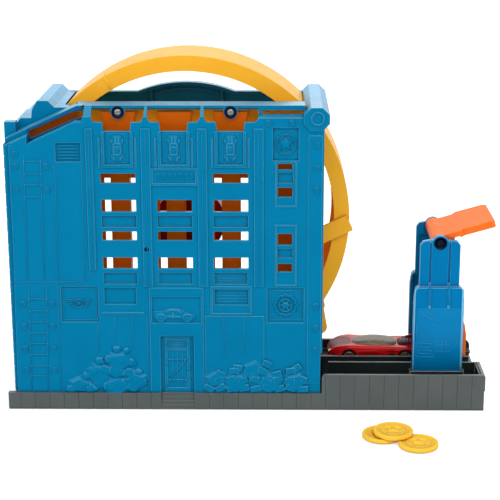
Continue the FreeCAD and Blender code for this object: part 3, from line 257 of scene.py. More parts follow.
materials = {
    "blue": plastic(
        "facade", (0, 0.197, 0.388), (0.1, 0.48, 0.7), (0, 0.178, 0.355), edge_highlight=0.7,
        shine=0.03, painted_top_light=0.38, recess_shade=(0, 0.085, 0.18)),
    # Painted light: a lighter, bluer copy of the facade blue for the rear shell, whose inner face is in
    # shade.
    "lit_back_blue": plastic(
        "back", (0, 0.23, 0.55), (0.1, 0.48, 0.72), (0, 0.21, 0.5), edge=0.0005,
        edge_highlight=0.6, painted_top_light=0.45),
    "tower": plastic(
        "tower", (0, 0.192, 0.46), (0.3, 0.68, 0.95), (0, 0.175, 0.42), edge=0.001,
        edge_highlight=0.8, shine=0.03),
    # Painted highlight: a pale blue with strong sheen for strips along the tower's upright edges.
    "glint": plastic(
        "tower_edge_glint", (0.16, 0.55, 0.86), (0.6, 0.85, 1.0), (0.12, 0.5, 0.8), edge_highlight=0.8,
        shine=0.5),
    # Painted shade: a darker copy of the tower blue for the rear tower.
    "shaded_back_tower": plastic(
        "shaded_back_tower", (0, 0.17, 0.4), (0.02, 0.3, 0.56), (0, 0.15, 0.36), edge=0.0004,
        edge_highlight=0.4),
    "marks": plastic(
        "tower_marks", (0, 0.215, 0.5), (0.04, 0.36, 0.66), (0, 0.2, 0.46), edge=0.0004,
        edge_highlight=0.7, top_shine=0.2),
    # Painted shade: a darker blue for strips and discs that stand for shade in creases, slot edges and holes.
    "recess_shade": plastic(
        "recess_shade", (0, 0.11, 0.29), (0, 0.16, 0.38), (0, 0.1, 0.26), top_shine=0.2),
    "grey": plastic(
        "base", (0.105, 0.122, 0.12), (0.26, 0.29, 0.29), (0.09, 0.106, 0.106), 0.45, shine=0.2),
    "black": plastic(
        "track", (0.013, 0.02, 0.02), (0.42, 0.45, 0.43), (0.01, 0.016, 0.016), 0.4,
        edge=0.0009, edge_highlight=0.95, shine=0.2, top_shine=0.3),
    # Painted shade: black without sheen for the lip at the trough's left end, which reads as shadow.
    "void_shade": plastic(
        "lip", (0.009, 0.012, 0.012), (0.02, 0.024, 0.024), (0.007, 0.01, 0.01), 0.7,
        edge_highlight=0.2, shine=0.0, top_shine=0.0),
    "yellow": plastic(
        "loop", (0.97, 0.47, 0.03), (1.0, 0.64, 0.14), (0.92, 0.43, 0.022), top_shine=0.04,
        recess_shade=(0.6, 0.25, 0.01)),
    # Orange wall: lighter places deep in the bays and a faint glow, both painted light.
    "orange": plastic(
        "wall", (0.62, 0.11, 0.002), (0.9, 0.22, 0.005), (0.57, 0.095, 0.002), shine=0.05,
        top_shine=0.1, glow=0.35, recess_shade=(0.5, 0.08, 0.001), lit=bays_lit, inner=0.07),
    "lever": plastic(
        "lever", (1.0, 0.19, 0.02), (1.0, 0.36, 0.08), (0.96, 0.17, 0.017), top_shine=0.03,
        glow=0.2, recess_shade=(0.8, 0.03, 0.012)),
    "red": plastic("vault", (0.3, 0.012, 0.012), (0.5, 0.06, 0.05), (0.26, 0.01, 0.01)),
    "gold": plastic(
        "coin", (1.0, 0.62, 0.06), (1.0, 0.78, 0.22), (0.96, 0.56, 0.045), top_shine=0.05,
        recess_shade=(0.6, 0.25, 0.01)),
    "tyre": plastic(
        "wheel", (0.015, 0.015, 0.016), (0.06, 0.06, 0.06), (0.01, 0.01, 0.011), 0.5),
    "dark": plastic(
        "dark", (0.02, 0.02, 0.022), (0.08, 0.08, 0.08), (0.015, 0.015, 0.016), 0.4),
    # Painted shade: near black blue for holes, screw wells and the pin seen in its hole.
    "hole_shade": plastic(
        "hole_shade", (0.004, 0.012, 0.035), (0.02, 0.09, 0.2), (0.003, 0.009, 0.028), 0.4),
    "tan": plastic("seat", (0.5, 0.4, 0.27), (0.7, 0.6, 0.42), (0.42, 0.33, 0.22), 0.45),
    "steel": bright_metal("bright_steel", (0.72, 0.73, 0.75)),
    "bronze": bright_metal("bronze_rim", (0.72, 0.55, 0.34), 0.28),
    "lamp": bright_metal("lamp_chrome", (0.85, 0.86, 0.88), 0.18),
    "screw": bright_metal("screw_zinc", (0.95, 0.95, 0.93), 0.45),
    "paint": car_paint("red", (0.62, 0.002, 0.004), (0.42, 0.001, 0.002), 0.1, 0.2, 0.12),
    # Painted shade and painted highlight: a darker and a brighter copy of the red lacquer, for the flanks.
    "shade": car_paint("shaded", (0.3, 0.001, 0.002), (0.2, 0.001, 0.001), 0.0, 0.1, 0.1),
    "highlight_red": car_paint("bright", (0.9, 0.02, 0.02), (0.75, 0.012, 0.012), 0.0, 0.4, 0.4),
    "smoke": car_paint("smoked", (0.19, 0.05, 0.055), (0.12, 0.03, 0.035), 0.0, 0.02, 0.1),
    "plum": car_paint("plum", (0.1, 0.008, 0.028), (0.05, 0.004, 0.014), 0.0, 0.0, 0.04),
    "roof": plastic(
        "roof", (0.16, 0.13, 0.09), (0.3, 0.26, 0.2), (0.12, 0.1, 0.07), 0.25, top_shine=0.15),
    "glass": smoky_glass("smoky_canopy", (0.7, 0.64, 0.5)),
}

# For each slot of the record: its looks, and the nodes that each of them goes on.
slot_looks = {
    "building_blue": {"blue": ["front_shell"], "lit_back_blue": ["rear_shell"]},
    "tower_blue": {
        "tower": ["tower_front"], "shaded_back_tower": ["tower_rear"], "marks": [], "glint": [], "recess_shade": [],
    },
    "base_grey": {"grey": ["base_tray"]},
    "track_black": {"black": ["launch_track"], "void_shade": []},
    "loop_yellow": {"yellow": ["loop_top", "loop_left", "loop_right", "loop_stay"]},
    "wall_orange": {"orange": ["interior_wall"]},
    "lever_orange": {"lever": ["slam_lever", "entry_flap"]},
    "vault_red": {"red": ["vault_drum", "vault_door"]},
    "coin_gold": {"gold": ["coin_1", "coin_2", "coin_3"]},
    "car_tyre": {"tyre": ["car_front_wheels", "car_rear_wheels"]},
    "car_dark": {"dark": ["car_engine_cover", "car_chassis"], "hole_shade": ["lever_pin"], "tan": []},
    "steel": {
        "steel": ["shell_screws", "flap_pin", "vault_pin", "return_spring", "car_front_axle",
                  "car_rear_axle"],
        "bronze": [], "lamp": [], "screw": [],
    },
    "car_paint": {"paint": ["car_body"], "shade": [], "highlight_red": [], "smoke": [], "plum": []},
    "car_glass": {"roof": [], "glass": ["car_canopy"]},
}
for looks in slot_looks.values():
    for look, nodes in looks.items():
        for node in nodes:
            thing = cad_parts[node]
            thing.data.materials.clear()
            thing.data.materials.append(materials[look])


# ---- building blocks ----
# A plane is a function from (u, v, out) in millimetres to a point, where out is the height above its surface.


def at(x, y, z):
    return Vector((x, y - HALF_DEPTH, z)) * MM


def upright(y, side=-1):
    """A plane across the object, which faces the front with side -1 and the back with 1."""
    return lambda x, z, out: at(x, y + side * out, z)


def recess(depth):
    """The floor of a panel sunk into the facade."""
    return upright(FACADE_Y + depth)


def lifted(plane, height):
    return lambda u, v, out: plane(u, v, out + height)


facade = upright(FACADE_Y)
tower = upright(TOWER_Y)


def left_wall(y, z, out):
    return at(WALL_X - out, y, z)


def placed(name, data):
    """A new object in the scene."""
    thing = bpy.data.objects.new(name, data)
    bpy.context.collection.objects.link(thing)
    return thing


def mesh_object(name, bm):
    """An object of the mesh code, with its normals outwards."""
    bmesh.ops.recalc_face_normals(bm, faces=bm.faces)
    mesh = bpy.data.meshes.new(name)
    bm.to_mesh(mesh)
    bm.free()
    return placed(name, mesh)


def piece(name, bm, look, body="base", flat=False):
    """Turns mesh code into a named piece with its material, on its body."""
    for face in bm.faces:
        face.smooth = not flat
    thing = mesh_object(name, bm)
    thing.data.materials.append(materials[look])
    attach(thing, body)
    return thing


def inset(points, amount):
    """The outline moved inwards by an amount, for points that run anticlockwise."""
    moved = []
    for i, (u, v) in enumerate(points):
        a, b = points[i - 1], points[(i + 1) % len(points)]
        first = Vector((u - a[0], v - a[1])).normalized()
        second = Vector((b[0] - u, b[1] - v)).normalized()
        lean = Vector((-first.y - second.y, first.x + second.x))
        scale = amount / max(0.35, lean.length_squared / 2)
        moved.append((u + lean.x * scale, v + lean.y * scale))
    return moved


def turned(points, u, v, angle=0.0):
    """The outline turned by degrees and moved to (u, v)."""
    c, s = cos(radians(angle)), sin(radians(angle))
    return [(u + c * x - s * y, v + s * x + c * y) for x, y in points]


def mirrored(half):
    """The closed outline of a half whose points run upwards on the right."""
    return half + [(-u, v) for u, v in reversed(half)]


def rect(u0, u1, v0, v1):
    return [(u0, v0), (u1, v0), (u1, v1), (u0, v1)]


def polar(u, v, radius, angle):
    return u + radius * cos(angle), v + radius * sin(angle)


def circle(u, v, radius, count=32, shift=0.0):
    return [polar(u, v, radius, tau * (i + shift) / count) for i in range(count)]


def star(u, v, outer, inner, count=5):
    """A star with one point up."""
    return [polar(u, v, inner if i % 2 else outer, tau / 4 + pi * i / count) for i in range(2 * count)]


def join_rings(bm, rings):
    """Faces from each closed ring of vertices to the next."""
    for last, ring in zip(rings, rings[1:]):
        for i in range(len(ring)):
            j = (i + 1) % len(ring)
            bm.faces.new((last[i], last[j], ring[j], ring[i]))


def skin(bm, plane, outlines):
    """Joins outlines at their heights above a plane, and returns their rings of vertices."""
    rings = [[bm.verts.new(plane(u, v, out)) for u, v in points] for points, out in outlines]
    join_rings(bm, rings)
    return rings


def prism(bm, plane, outline, height, bevel=0.25, foot=0.3):
    """A raised shape with a bevelled top edge. Its foot is sunk below the surface."""
    rings = [(outline, -foot), (outline, height - bevel), (inset(outline, bevel), height)]
    bm.faces.new(skin(bm, plane, rings)[-1])


def band(bm, plane, outline, width, height, bevel=0.2, foot=0.3):
    """A raised band that follows a closed outline."""
    inner = inset(outline, width)
    skin(bm, plane, [
        (outline, -foot), (outline, height - bevel), (inset(outline, bevel), height),
        (inset(outline, width - bevel), height), (inner, height - bevel), (inner, -foot),
    ])


def lathe(bm, plane, u, v, profile, count=24, cap=True):
    """Turns a profile of (radius, out) about the normal of the plane at (u, v)."""
    rings = skin(bm, plane, [(circle(u, v, max(radius, 0.02), count), out) for radius, out in profile])
    if cap:
        bm.faces.new(rings[-1])


def bar(bm, plane, u0, v0, u1, v1, width, height, bevel=0.15):
    """A raised straight bar between two points."""
    a, b = Vector((u0, v0)), Vector((u1, v1))
    side = (b - a).normalized().orthogonal() * width / 2
    outline = [tuple(p) for p in (a - side, b - side, b + side, a + side)]
    area = sum(p[0] * q[1] - q[0] * p[1] for p, q in zip(outline, outline[1:] + outline[:1]))
    prism(bm, plane, outline if area > 0 else outline[::-1], height, bevel)


def bars(bm, plane, line, width, height):
    """Bars along a line of points."""
    for a, b in zip(line, line[1:]):
        bar(bm, plane, *a, *b, width, height)


# ---- facade ----


def rivets():
    """Ring-shaped rivet heads down both sides of the facade and along its right shoulder."""
    wall_spots = [(x, z) for z in (80.8, 63.6, 46.5, 29.8) for x in (-161.3, -140.4)]
    wall_spots += [(x, z) for z in (183.2, 165.8) for x in (-162.2, -140.4)] + [(-162.5, 191.8)]
    pilaster_spots = [(51.0, z) for z in (198.4, 182.0, 166.0, 79.8, 63.0, 46.2)]
    shoulder_spots = [(16.8, 214.1), (33.2, 214.1)]
    dome = [(1.45, 0.3), (1.15, 0.3), (0.8, 0.6), (0, 0.75)]
    profile = [(2.35, -0.3), (2.35, 0.25), (2.1, 0.6), (1.75, 0.62)] + dome
    bm = bmesh.new()
    for height, spots in ((0, wall_spots), (0.5, pilaster_spots), (0, shoulder_spots)):
        for x, z in spots:
            lathe(bm, lifted(facade, height), x, z, profile)
    piece("facade_rivets", bm, "blue")


def toy_car_from_above(bm, plane, u, v):
    """Relief of a plain small car, seen from above."""
    body = [(2.5, -9.4), (3.4, -8.6), (3.8, -6.5), (3.4, -3.0), (3.4, 2.5), (3.9, 5.4), (3.6, 8.2),
            (2.4, 9.4)]
    prism(bm, plane, turned(mirrored(body), u, v), 0.6, 0.3)
    for side in SIDES:
        x = u + side * 4.2
        for y in (v - 5.6, v + 5.3):
            prism(bm, plane, rect(x - 0.5, x + 0.5, y - 1.5, y + 1.5), 0.5, 0.2)
        bar(bm, plane, u + side * 1.2, v + 4.8, u + side * 1.0, v + 8.6, 0.45, 0.85)
        bar(bm, plane, u + side * 2.3, v - 8.6, u + side * 2.5, v - 6.2, 0.4, 0.85)
    cabin = [(2.6, -4.4), (2.9, -1.0), (2.6, 3.2), (1.8, 4.0)]
    band(bm, plane, turned(mirrored(cabin), u, v), 0.5, 1.05)
    prism(bm, plane, rect(u - 1.7, u + 1.7, v - 2.8, v + 1.4), 1.15, 0.3)


def toy_car_from_side(bm, plane, u, v):
    """Relief of a plain low car, seen from the side."""
    outline = [
        (-15.6, 1.4), (15.4, 1.0), (16.2, 3.0), (13.2, 5.2), (8.2, 6.4), (4.6, 9.0), (1.0, 9.8), (-4.4, 9.5),
        (-8.8, 7.4), (-12.4, 7.2), (-15.8, 7.8), (-16.2, 4.6),
    ]
    prism(bm, plane, turned(outline, u, v), 0.6, 0.3)
    window = [(-6.6, 6.9), (4.8, 6.6), (2.6, 8.4), (-3.6, 8.6)]
    band(bm, plane, turned(window, u, v), 0.5, 0.9)
    bar(bm, plane, u - 1.0, v + 2.0, u - 1.4, v + 6.4, 0.35, 0.8)
    bar(bm, plane, u - 5.8, v + 3.6, u + 4.6, v + 3.2, 0.5, 0.85)
    wheel = [(3.4, -0.3), (3.4, 0.8), (3.0, 1.1), (2.3, 1.1), (2.0, 0.7), (0.9, 0.7), (0.6, 1.0), (0, 1.0)]
    for x in (-10.0, 9.2):
        lathe(bm, plane, u + x, v + 1.9, wheel)


def bay_heads():
    """A car from above under each bay, and a car from the side over the door."""
    bm = bmesh.new()
    panel = recess(0.5)
    for x in BAYS:
        toy_car_from_above(bm, panel, x, 195.6)
        band(bm, panel, rect(x - 5.6, x + 5.6, 185.2, 206.4), 0.4, 0.25, 0.1)
    toy_car_from_side(bm, recess(0.3), DOOR_X - 1.4, 68.2)
    piece("car_reliefs", bm, "blue")


def emblems():
    """Plain signs in the framed panels: a star in a ring, a cogwheel, a winged ring, slats and arrows."""
    bm = bmesh.new()
    deep = recess(1.3)
    u, v = 28.9, 198.8
    band(bm, deep, circle(u, v, 7.6, 40), 0.9, 0.8)
    prism(bm, deep, star(u, v, 5.6, 2.5), 0.9, 0.4)
    band(bm, deep, circle(u, v, 6.2, 40), 0.4, 0.4, 0.1)
    for x, z in rect(u - 7.6, u + 7.6, v - 10.0, v + 10.0):
        lathe(bm, deep, x, z, [(0.7, -0.2), (0.7, 0.2), (0.4, 0.45), (0, 0.5)], 12)
    plate = recess(0.8)
    u, v = 29.1, 80.2
    band(bm, plate, rect(u - 11.4, u + 11.4, v - 11.2, v + 11.2), 0.6, 0.4)
    band(bm, plate, star(u, v, 9.2, 7.9, 12), 1.6, 0.7)
    band(bm, plate, circle(u, v, 5.2, 36), 0.8, 0.9)
    for inner, outer in zip(circle(u, v, 1.6, 6), circle(u, v, 4.6, 6)):
        bar(bm, plate, *inner, *outer, 0.9, 0.6)
    lathe(bm, plate, u, v, [(2.0, -0.2), (2.0, 0.6), (1.5, 0.95), (0, 1.0)])
    u, v = -120.7, 81.2
    band(bm, plate, circle(u, v, 3.3, 30), 0.6, 0.7)
    prism(bm, plate, star(u, v, 2.2, 1.0, 4), 0.8, 0.3)
    for side in SIDES:
        for i in range(4):
            root, tip = (u + side * 3.9, v + 2.4 - 1.5 * i), (u + side * (9.6 - 1.1 * i), v + 2.9 - 1.6 * i)
            bar(bm, plate, *root, *tip, 0.8, 0.6)
    for i in range(5):
        z = 188.4 + 2.3 * i
        bar(bm, deep, -131.5, z, -117.5, z, 0.9, 0.7)
    arrow = [(0, -2.6), (1.5, -2.6), (3.1, 0), (1.5, 2.6), (0, 2.6), (1.6, 0)]
    for i in range(7):
        prism(bm, facade, turned(arrow, DOOR_X - 12.4 + 3.9 * i, 175.5), 0.5, 0.2)
    piece("panel_emblems", bm, "blue")


def panel_lines():
    """Thin raised borders and shutter slats in the sunk panels."""
    bm = bmesh.new()
    floor = recess(1.3)
    for x in BAYS:
        for z0, z1 in ((138.6, 146.8), (96.2, 104.5)):
            band(bm, floor, rect(x - 11.6, x + 11.0, z0 + 0.7, z1 - 0.7), 0.35, 0.3, 0.1)
    for z in (82.6, 85.0, 87.4, 89.8, 98.2, 100.4, 102.6):
        bar(bm, floor, BAYS[2] - 11.4, z, BAYS[2] + 11.4, z, 0.45, 0.35)
    band(bm, recess(0.8), rect(-132.4, -107.6, 68.3, 92.8), 0.5, 0.3, 0.1)
    for z0, z1 in ((171.6, 177.8), (116.5, 122.1)):
        band(bm, floor, rect(24.0, 33.4, z0, z1), 0.35, 0.3, 0.1)
    band(bm, facade, rect(-66.9, -32.9, 168.9, 182.1), 0.5, 0.75, 0.15)
    piece("panel_borders", bm, "blue")


def wall_lines():
    """Ladders, board seams and cornice lines a little proud of the wall, and a dark disc sunk in the peephole
    as painted shade.
    """
    bm = bmesh.new()
    ladders = (
        ((-157.0, -156.0), (-145.0, -144.0), 99.0, 189.5, (186.5, 177.4, 169.4, 160.7)),
        ((-157.8, -156.7), (-145.6, -143.6), 14.0, 95.0, (84.6, 75.5, 67.0, 58.5, 50.4, 41.9, 32.9, 25.1)),
    )
    for left, right, low, high, rungs in ladders:
        for foot, head in (left, right):
            bar(bm, facade, foot, low, head, high, 0.6, 0.35)
        for z in rungs:
            climbed = (z - low) / (high - low)
            x0, x1 = (foot + (head - foot) * climbed for foot, head in (left, right))
            bar(bm, facade, x0, z, x1, z, 0.9, 0.45)
    for upright_line in (
            (-111.7, 106.6, -109.9, 208.0), (-134.8, 99.0, -134.2, 184.0), (-136.0, 14.0, -135.8, 95.0),
            (-115.6, 99.0, -115.3, 184.0), (12.4, 96.0, 12.8, 200.0), (45.0, 20.0, 44.6, 204.0)):
        bar(bm, facade, *upright_line, 0.5, 0.3)
    bars(bm, facade, [(-166.3, 97.5), (-115.6, 97.6), (-107.4, 106.7)], 0.6, 0.35)
    for x, z in ((-107.4, 44.5), (-95.0, 51.0), (-82.6, 47.5), (-71.4, 14.0)):
        bar(bm, facade, x, z, x, 71.6, 0.45, 0.25)
    for x, z in ((-15.5, 40.5), (-0.6, 43.5)):
        bar(bm, lifted(facade, 0.5), x, z, x, 71.4, 0.45, 0.25)
    for i, z in enumerate((108.0, 96.0, 96.0, 96.0)):
        x = BAYS[0] + BAY_STEP * (i - 0.5)
        bar(bm, lifted(facade, 0.8), x, z, x, 207.0, 0.5, 0.3)
    piece("wall_lines", bm, "blue")
    # Painted shade: a dark disc sunk in the peephole.
    bm = bmesh.new()
    lathe(bm, facade, -70.4, 122.2, [(1.95, -1.4), (1.95, -0.9), (1.2, -0.7), (0, -0.6)])
    piece("peephole_shade", bm, "recess_shade")


def door_fittings():
    """Window bars, boards with a cross brace, hinges and the knob of the door."""
    bm = bmesh.new()
    leaf = recess(0.6)
    inner = recess(1.1)
    left, right = DOOR_X - 7.2, DOOR_X + 7.2
    band(bm, inner, rect(left + 0.5, right - 0.5, 47.0, 52.9), 0.4, 0.4, 0.1)
    for i in range(3):
        z = 48.4 + 1.5 * i
        bar(bm, inner, left + 2.0, z, right - 2.0, z, 0.4, 0.35)
    for i in range(1, 4):
        x = left + (right - left) * i / 4
        bar(bm, inner, x, 16.6, x, 44.2, 0.35, 0.3)
    rails = (38.0, 22.0)
    for z in rails:
        bar(bm, inner, left + 0.6, z, right - 0.6, z, 1.2, 0.6)
    bar(bm, inner, left + 1.0, 22.8, right - 1.0, 37.2, 1.0, 0.6)
    for x in (left + 0.9, right - 0.9):
        for z in rails:
            lathe(bm, inner, x, z, [(0.6, 0.3), (0.6, 0.7), (0, 0.9)], 10)
    for z in (50.0, 34.0, 18.5):
        prism(bm, leaf, rect(left - 1.4, left - 0.2, z - 1.6, z + 1.6), 0.5)
    piece("door_boards", bm, "blue")
    bm = bmesh.new()
    knob = [(0.9, -0.2), (0.9, 0.25), (0.5, 0.45), (0.55, 0.7), (1.05, 1.1), (0.95, 1.6), (0, 1.8)]
    lathe(bm, leaf, DOOR_X + 8.1, 31.0, knob, 20)
    piece("door_knob", bm, "blue")


def on_heap(x, z, out):
    """A point of the heaps, kept above the base and within the facade's relief."""
    return facade(x, max(HEAP_Z, z), min(1.9, out))


def boulder(bm, x, z, size, seed):
    """A lumpy rock, half sunk in the facade."""
    made = bmesh.ops.create_icosphere(bm, subdivisions=3, radius=1.0)
    shift = Vector((seed * 7.13, seed * 3.71, seed * 1.93))
    for vert in made["verts"]:
        n = vert.co.normalized()
        lump = 1 + 0.28 * field.noise(n * 1.6 + shift) + 0.1 * field.noise(n * 4.5 + shift)
        out = -n.y * (1.0 + 0.16 * size) * lump
        vert.co = on_heap(x + n.x * size * lump, z + n.z * size * 0.8 * lump, out)


def broken_brick(bm, x, z, width, height, angle, seed):
    """A chipped brick lying on the heap, tilted out of the wall."""
    w, h = width / 2, height / 2
    chip = 0.6 + 0.5 * abs(field.noise(Vector((seed, 1.7, 0.3))))
    outline = [
        (-w, -h), (w - chip, -h), (w, -h + chip), (w, h - chip * 0.4), (w - chip * 1.4, h), (-w + chip, h),
        (-w, h - chip),
    ]
    tilt = 0.09 * sin(2.4 * seed)
    plane = lambda u, v, out: on_heap(u, v, out * (1 + tilt * (u - x)))
    prism(bm, plane, turned(outline, x, z, angle), 1.5, 0.5, 0.4)


def rubble():
    """Heaps at the foot of the wall: rocks on the left, broken bricks on the right."""
    rocks = [
        (-128, 15, 4.6), (-121, 18.5, 5.6), (-114, 16, 5.0), (-107, 20, 6.2), (-99, 17, 6.0), (-91, 19, 6.4),
        (-83, 17, 5.6), (-77, 20, 4.6), (-117, 25, 4.4), (-111, 29, 5.4), (-103, 30, 5.6), (-95, 29, 6.4),
        (-86, 28, 5.2), (-79, 28, 3.8), (-107, 37, 4.0), (-99, 38, 4.8), (-91, 38, 5.6), (-84, 36, 4.0),
        (-94, 46, 3.4), (-87, 45, 3.0),
    ]
    bm = bmesh.new()
    for i, (x, z, size) in enumerate(rocks):
        boulder(bm, x, z, size, i + 1.0)
    piece("rock_heap", bm, "blue")
    bm = bmesh.new()
    for row, (count, z) in enumerate(((9, 16.2), (8, 22.6), (6, 28.6), (3, 33.8))):
        start, step = -27.0 + 4.2 * row, 0.96 * (72.0 - 9.0 * row) / (count - 1)
        for i in range(count):
            seed = 10.0 * row + i
            x = start + step * (i + 0.4 * (row % 2))
            angle = 70 * field.noise(Vector((seed * 1.37, 0.5, 2.1)))
            broken_brick(bm, x, z + 1.6 * sin(3.1 * seed), 8.2 - 0.4 * row, 5.0, angle, seed)
    piece("brick_heap", bm, "blue", flat=True)


def side_bricks():
    """Brick courses on the left wall, between its pilasters."""
    course, length, gap = 9.3, 16.0, 0.7
    bm = bmesh.new()
    for y0, y1, top in ((6.3, 21.7, 200.0), (30.3, 45.6, 206.0), (46.4, 104.6, 202.5)):
        z = 12.9
        row = 0
        while z + course < top:
            y = y0 - (length / 2 if row % 2 else 0.0)
            while y < y1 - 1.0:
                a, b = max(y, y0), min(y + length - gap, y1)
                if b - a > 1.5:
                    outline = [(b, z), (a, z), (a, z + course - gap), (b, z + course - gap)]
                    prism(bm, left_wall, outline[::-1], 0.5, 0.25, 0.2)
                y += length
            z += course
            row += 1
    piece("side_bricks", bm, "blue")


def screw_heads():
    """Pan heads with a cross recess, each in a well that is painted dark as shade."""
    spots = [(x, 219.6) for x in (BAYS[0], BAYS[2])]
    head = upright(BAR_Y - 0.4)
    quarter = [(0.42, 0.42)] + [polar(0, 0, 1.95, radians(12 + 11 * k)) for k in range(7)]
    bm = bmesh.new()
    for x, z in spots:
        lathe(bm, head, x, z, [(2.3, -0.4), (2.3, 0.1), (2.1, 0.25), (0, 0.25)])
        for i in range(4):
            prism(bm, head, turned(quarter, x, z, 90 * i + 8), 0.6, 0.15, 0.1)
    piece("screw_heads", bm, "screw")
    bm = bmesh.new()
    well = [(4.5, -0.3), (4.5, 0.12), (4.2, 0.22), (2.9, 0.2), (2.7, -0.5)]
    for x, z in spots:
        lathe(bm, upright(BAR_Y), x, z, well, 40, False)
    piece("screw_wells", bm, "hole_shade")


def tower_marks():
    """Ribs, a wave line, a stepped key pattern and a grid on the front tower, with dark strips of painted
    shade in the two creases of its neck and pale strips of painted highlight on its edges.
    """
    bm = bmesh.new()
    for x in RIB_X:
        bar(bm, tower, x, 73.6, x, 88.6, 1.5, 0.65)
    wave = [(129.4, 65.0), (132.0, 65.6), (134.5, 64.4), (137.6, 62.4), (141.0, 61.6), (144.4, 61.8)]
    crest = [(134.0, 68.6), (136.4, 66.6), (138.4, 67.6), (140.0, 68.8)]
    for line in (wave, crest):
        bars(bm, tower, line, 0.6, 0.35)
    for x0, x1, z in ((147.8, 153.2, 67.4), (148.6, 152.0, 65.6), (149.0, 151.2, 63.6)):
        bar(bm, tower, x0, z, x1, z, 0.7, 0.3)
    bar(bm, tower, 126.4, 45.6, 126.4, 57.4, 0.6, 0.35)
    key = [(128.4, 43.6), (137.4, 43.6), (137.4, 40.6), (128.4, 40.6)]
    box = [(128.4, 38.4), (137.4, 38.4), (137.4, 35.6), (128.4, 35.6), (128.4, 38.4)]
    for line in (key, box):
        bars(bm, tower, line, 0.6, 0.45)
    for x in (142.2, 145.5, 149.0):
        bar(bm, tower, x, 33.4, x, 45.8, 0.6, 0.45)
    for z in (42.4, 37.4):
        bar(bm, tower, 141.6, z, 151.8, z, 0.5, 0.45)
    bar(bm, tower, 126.8, 33.0, 140.4, 33.0, 0.5, 0.35)
    bars(bm, tower, [(126.4, 45.6), (126.4, 34.6), (127.6, 33.2)], 0.5, 0.3)
    prism(bm, tower, rect(TOWER_X - 16.6, TOWER_X + 16.6, 23.6, 71.6), 0.2, 0.15, 0.1)
    piece("tower_marks", bm, "marks")
    # Painted shade: thin dark strips over the two creases in the tower's neck.
    bm = bmesh.new()
    for x in RIB_X:
        prism(bm, upright(NECK_Y), rect(x - 0.8, x + 0.8, 90.4, 120.4), 0.06, 0.05, 0.3)
    piece("tower_groove_shade", bm, "recess_shade")
    # Painted highlights: pale strips along the left and right edges of the tower's face.
    bm = bmesh.new()
    for x0, x1 in ((TOWER_X - 18.3, TOWER_X - 17.5), (TOWER_X + 16.7, TOWER_X + 18.1)):
        prism(bm, tower, rect(x0, x1, 25.0, 86.0), 0.2, 0.15, 0.1)
    piece("tower_edge_glints", bm, "glint")


def pivot_caps():
    """Hole with a stepped bore around the end of the lever's pin, on both towers, dark with painted shade."""
    bm = bmesh.new()
    profile = [(4.85, -0.2), (4.85, 0.12), (4.05, 0.1), (3.9, -1.8), (2.6, -1.9), (2.5, -2.05), (0, -2.1)]
    for face in (upright(NECK_Y), upright(TOWER_BACK_Y, 1)):
        lathe(bm, face, TOWER_X, PIN_Z, profile, 40)
    piece("pivot_caps", bm, "hole_shade")


# ---- car ----
# Its own X runs from the nose to the tail, Y across from the middle of the lane, and Z up from the lane.


NOSE_X, LANE_Y, LANE_Z = 61.8, 60.3, 19.8
AXLES = {"front_wheelset": NOSE_X + 16.2, "rear_wheelset": NOSE_X + 59.2}
AXLE_Z = LANE_Z + 5.0
WHEEL_OUT = 15.2
SEAT_Z = 12.4
SMOOTH = ("SUBSURF", {"levels": 2})


def car_at(x, y, z):
    return at(NOSE_X + x, LANE_Y + y, LANE_Z + z)


def car_top(z):
    """A plane that faces up in the car."""
    return lambda x, y, out: car_at(x, y, z + out)


def closed_rings(stations):
    """A closed skin through mirrored sections, each given as x and half of its outline in (y, z)."""
    bm = bmesh.new()
    rings = []
    for x, half in stations:
        ring = [(-y, z) for y, z in half] + half[::-1]
        rings.append([bm.verts.new(car_at(x, y, z)) for y, z in ring])
    bm.faces.new(rings[0][::-1])
    join_rings(bm, rings)
    bm.faces.new(rings[-1])
    return bm


def modified(bm, *setups):
    """Mesh code after modifiers, each given as a kind and its settings."""
    thing = mesh_object("making", bm)
    for kind, settings in setups:
        modifier = thing.modifiers.new(kind.lower(), kind)
        for key, value in settings.items():
            setattr(modifier, key, value)
    bpy.context.view_layer.update()
    graph = bpy.context.evaluated_depsgraph_get()
    result = bmesh.new()
    result.from_mesh(bpy.data.meshes.new_from_object(thing.evaluated_get(graph)))
    bpy.data.objects.remove(thing)
    return result


def wheel_arch_cutter():
    bm = bmesh.new()
    for x in AXLES.values():
        for side in SIDES:
            outline = circle(x, AXLE_Z, 6.0, 48)
            first, last = skin(bm, upright(LANE_Y, side), [(outline, 9.6), (outline, 20.0)])
            bm.faces.new(first)
            bm.faces.new(last[::-1])
    return mesh_object("arches", bm)
def hull_half(belly, width, bulge, shoulder, crest, hood):
    outline = (
        (0.4, belly), (0.86, belly), (0.985, belly + 1.0), (1.0, bulge), (0.97, shoulder), (0.86, crest),
        (0.66, (crest + hood) / 2), (0.4, hood), (0.13, hood + 0.15))
    return [(width * wide, z) for wide, z in outline]


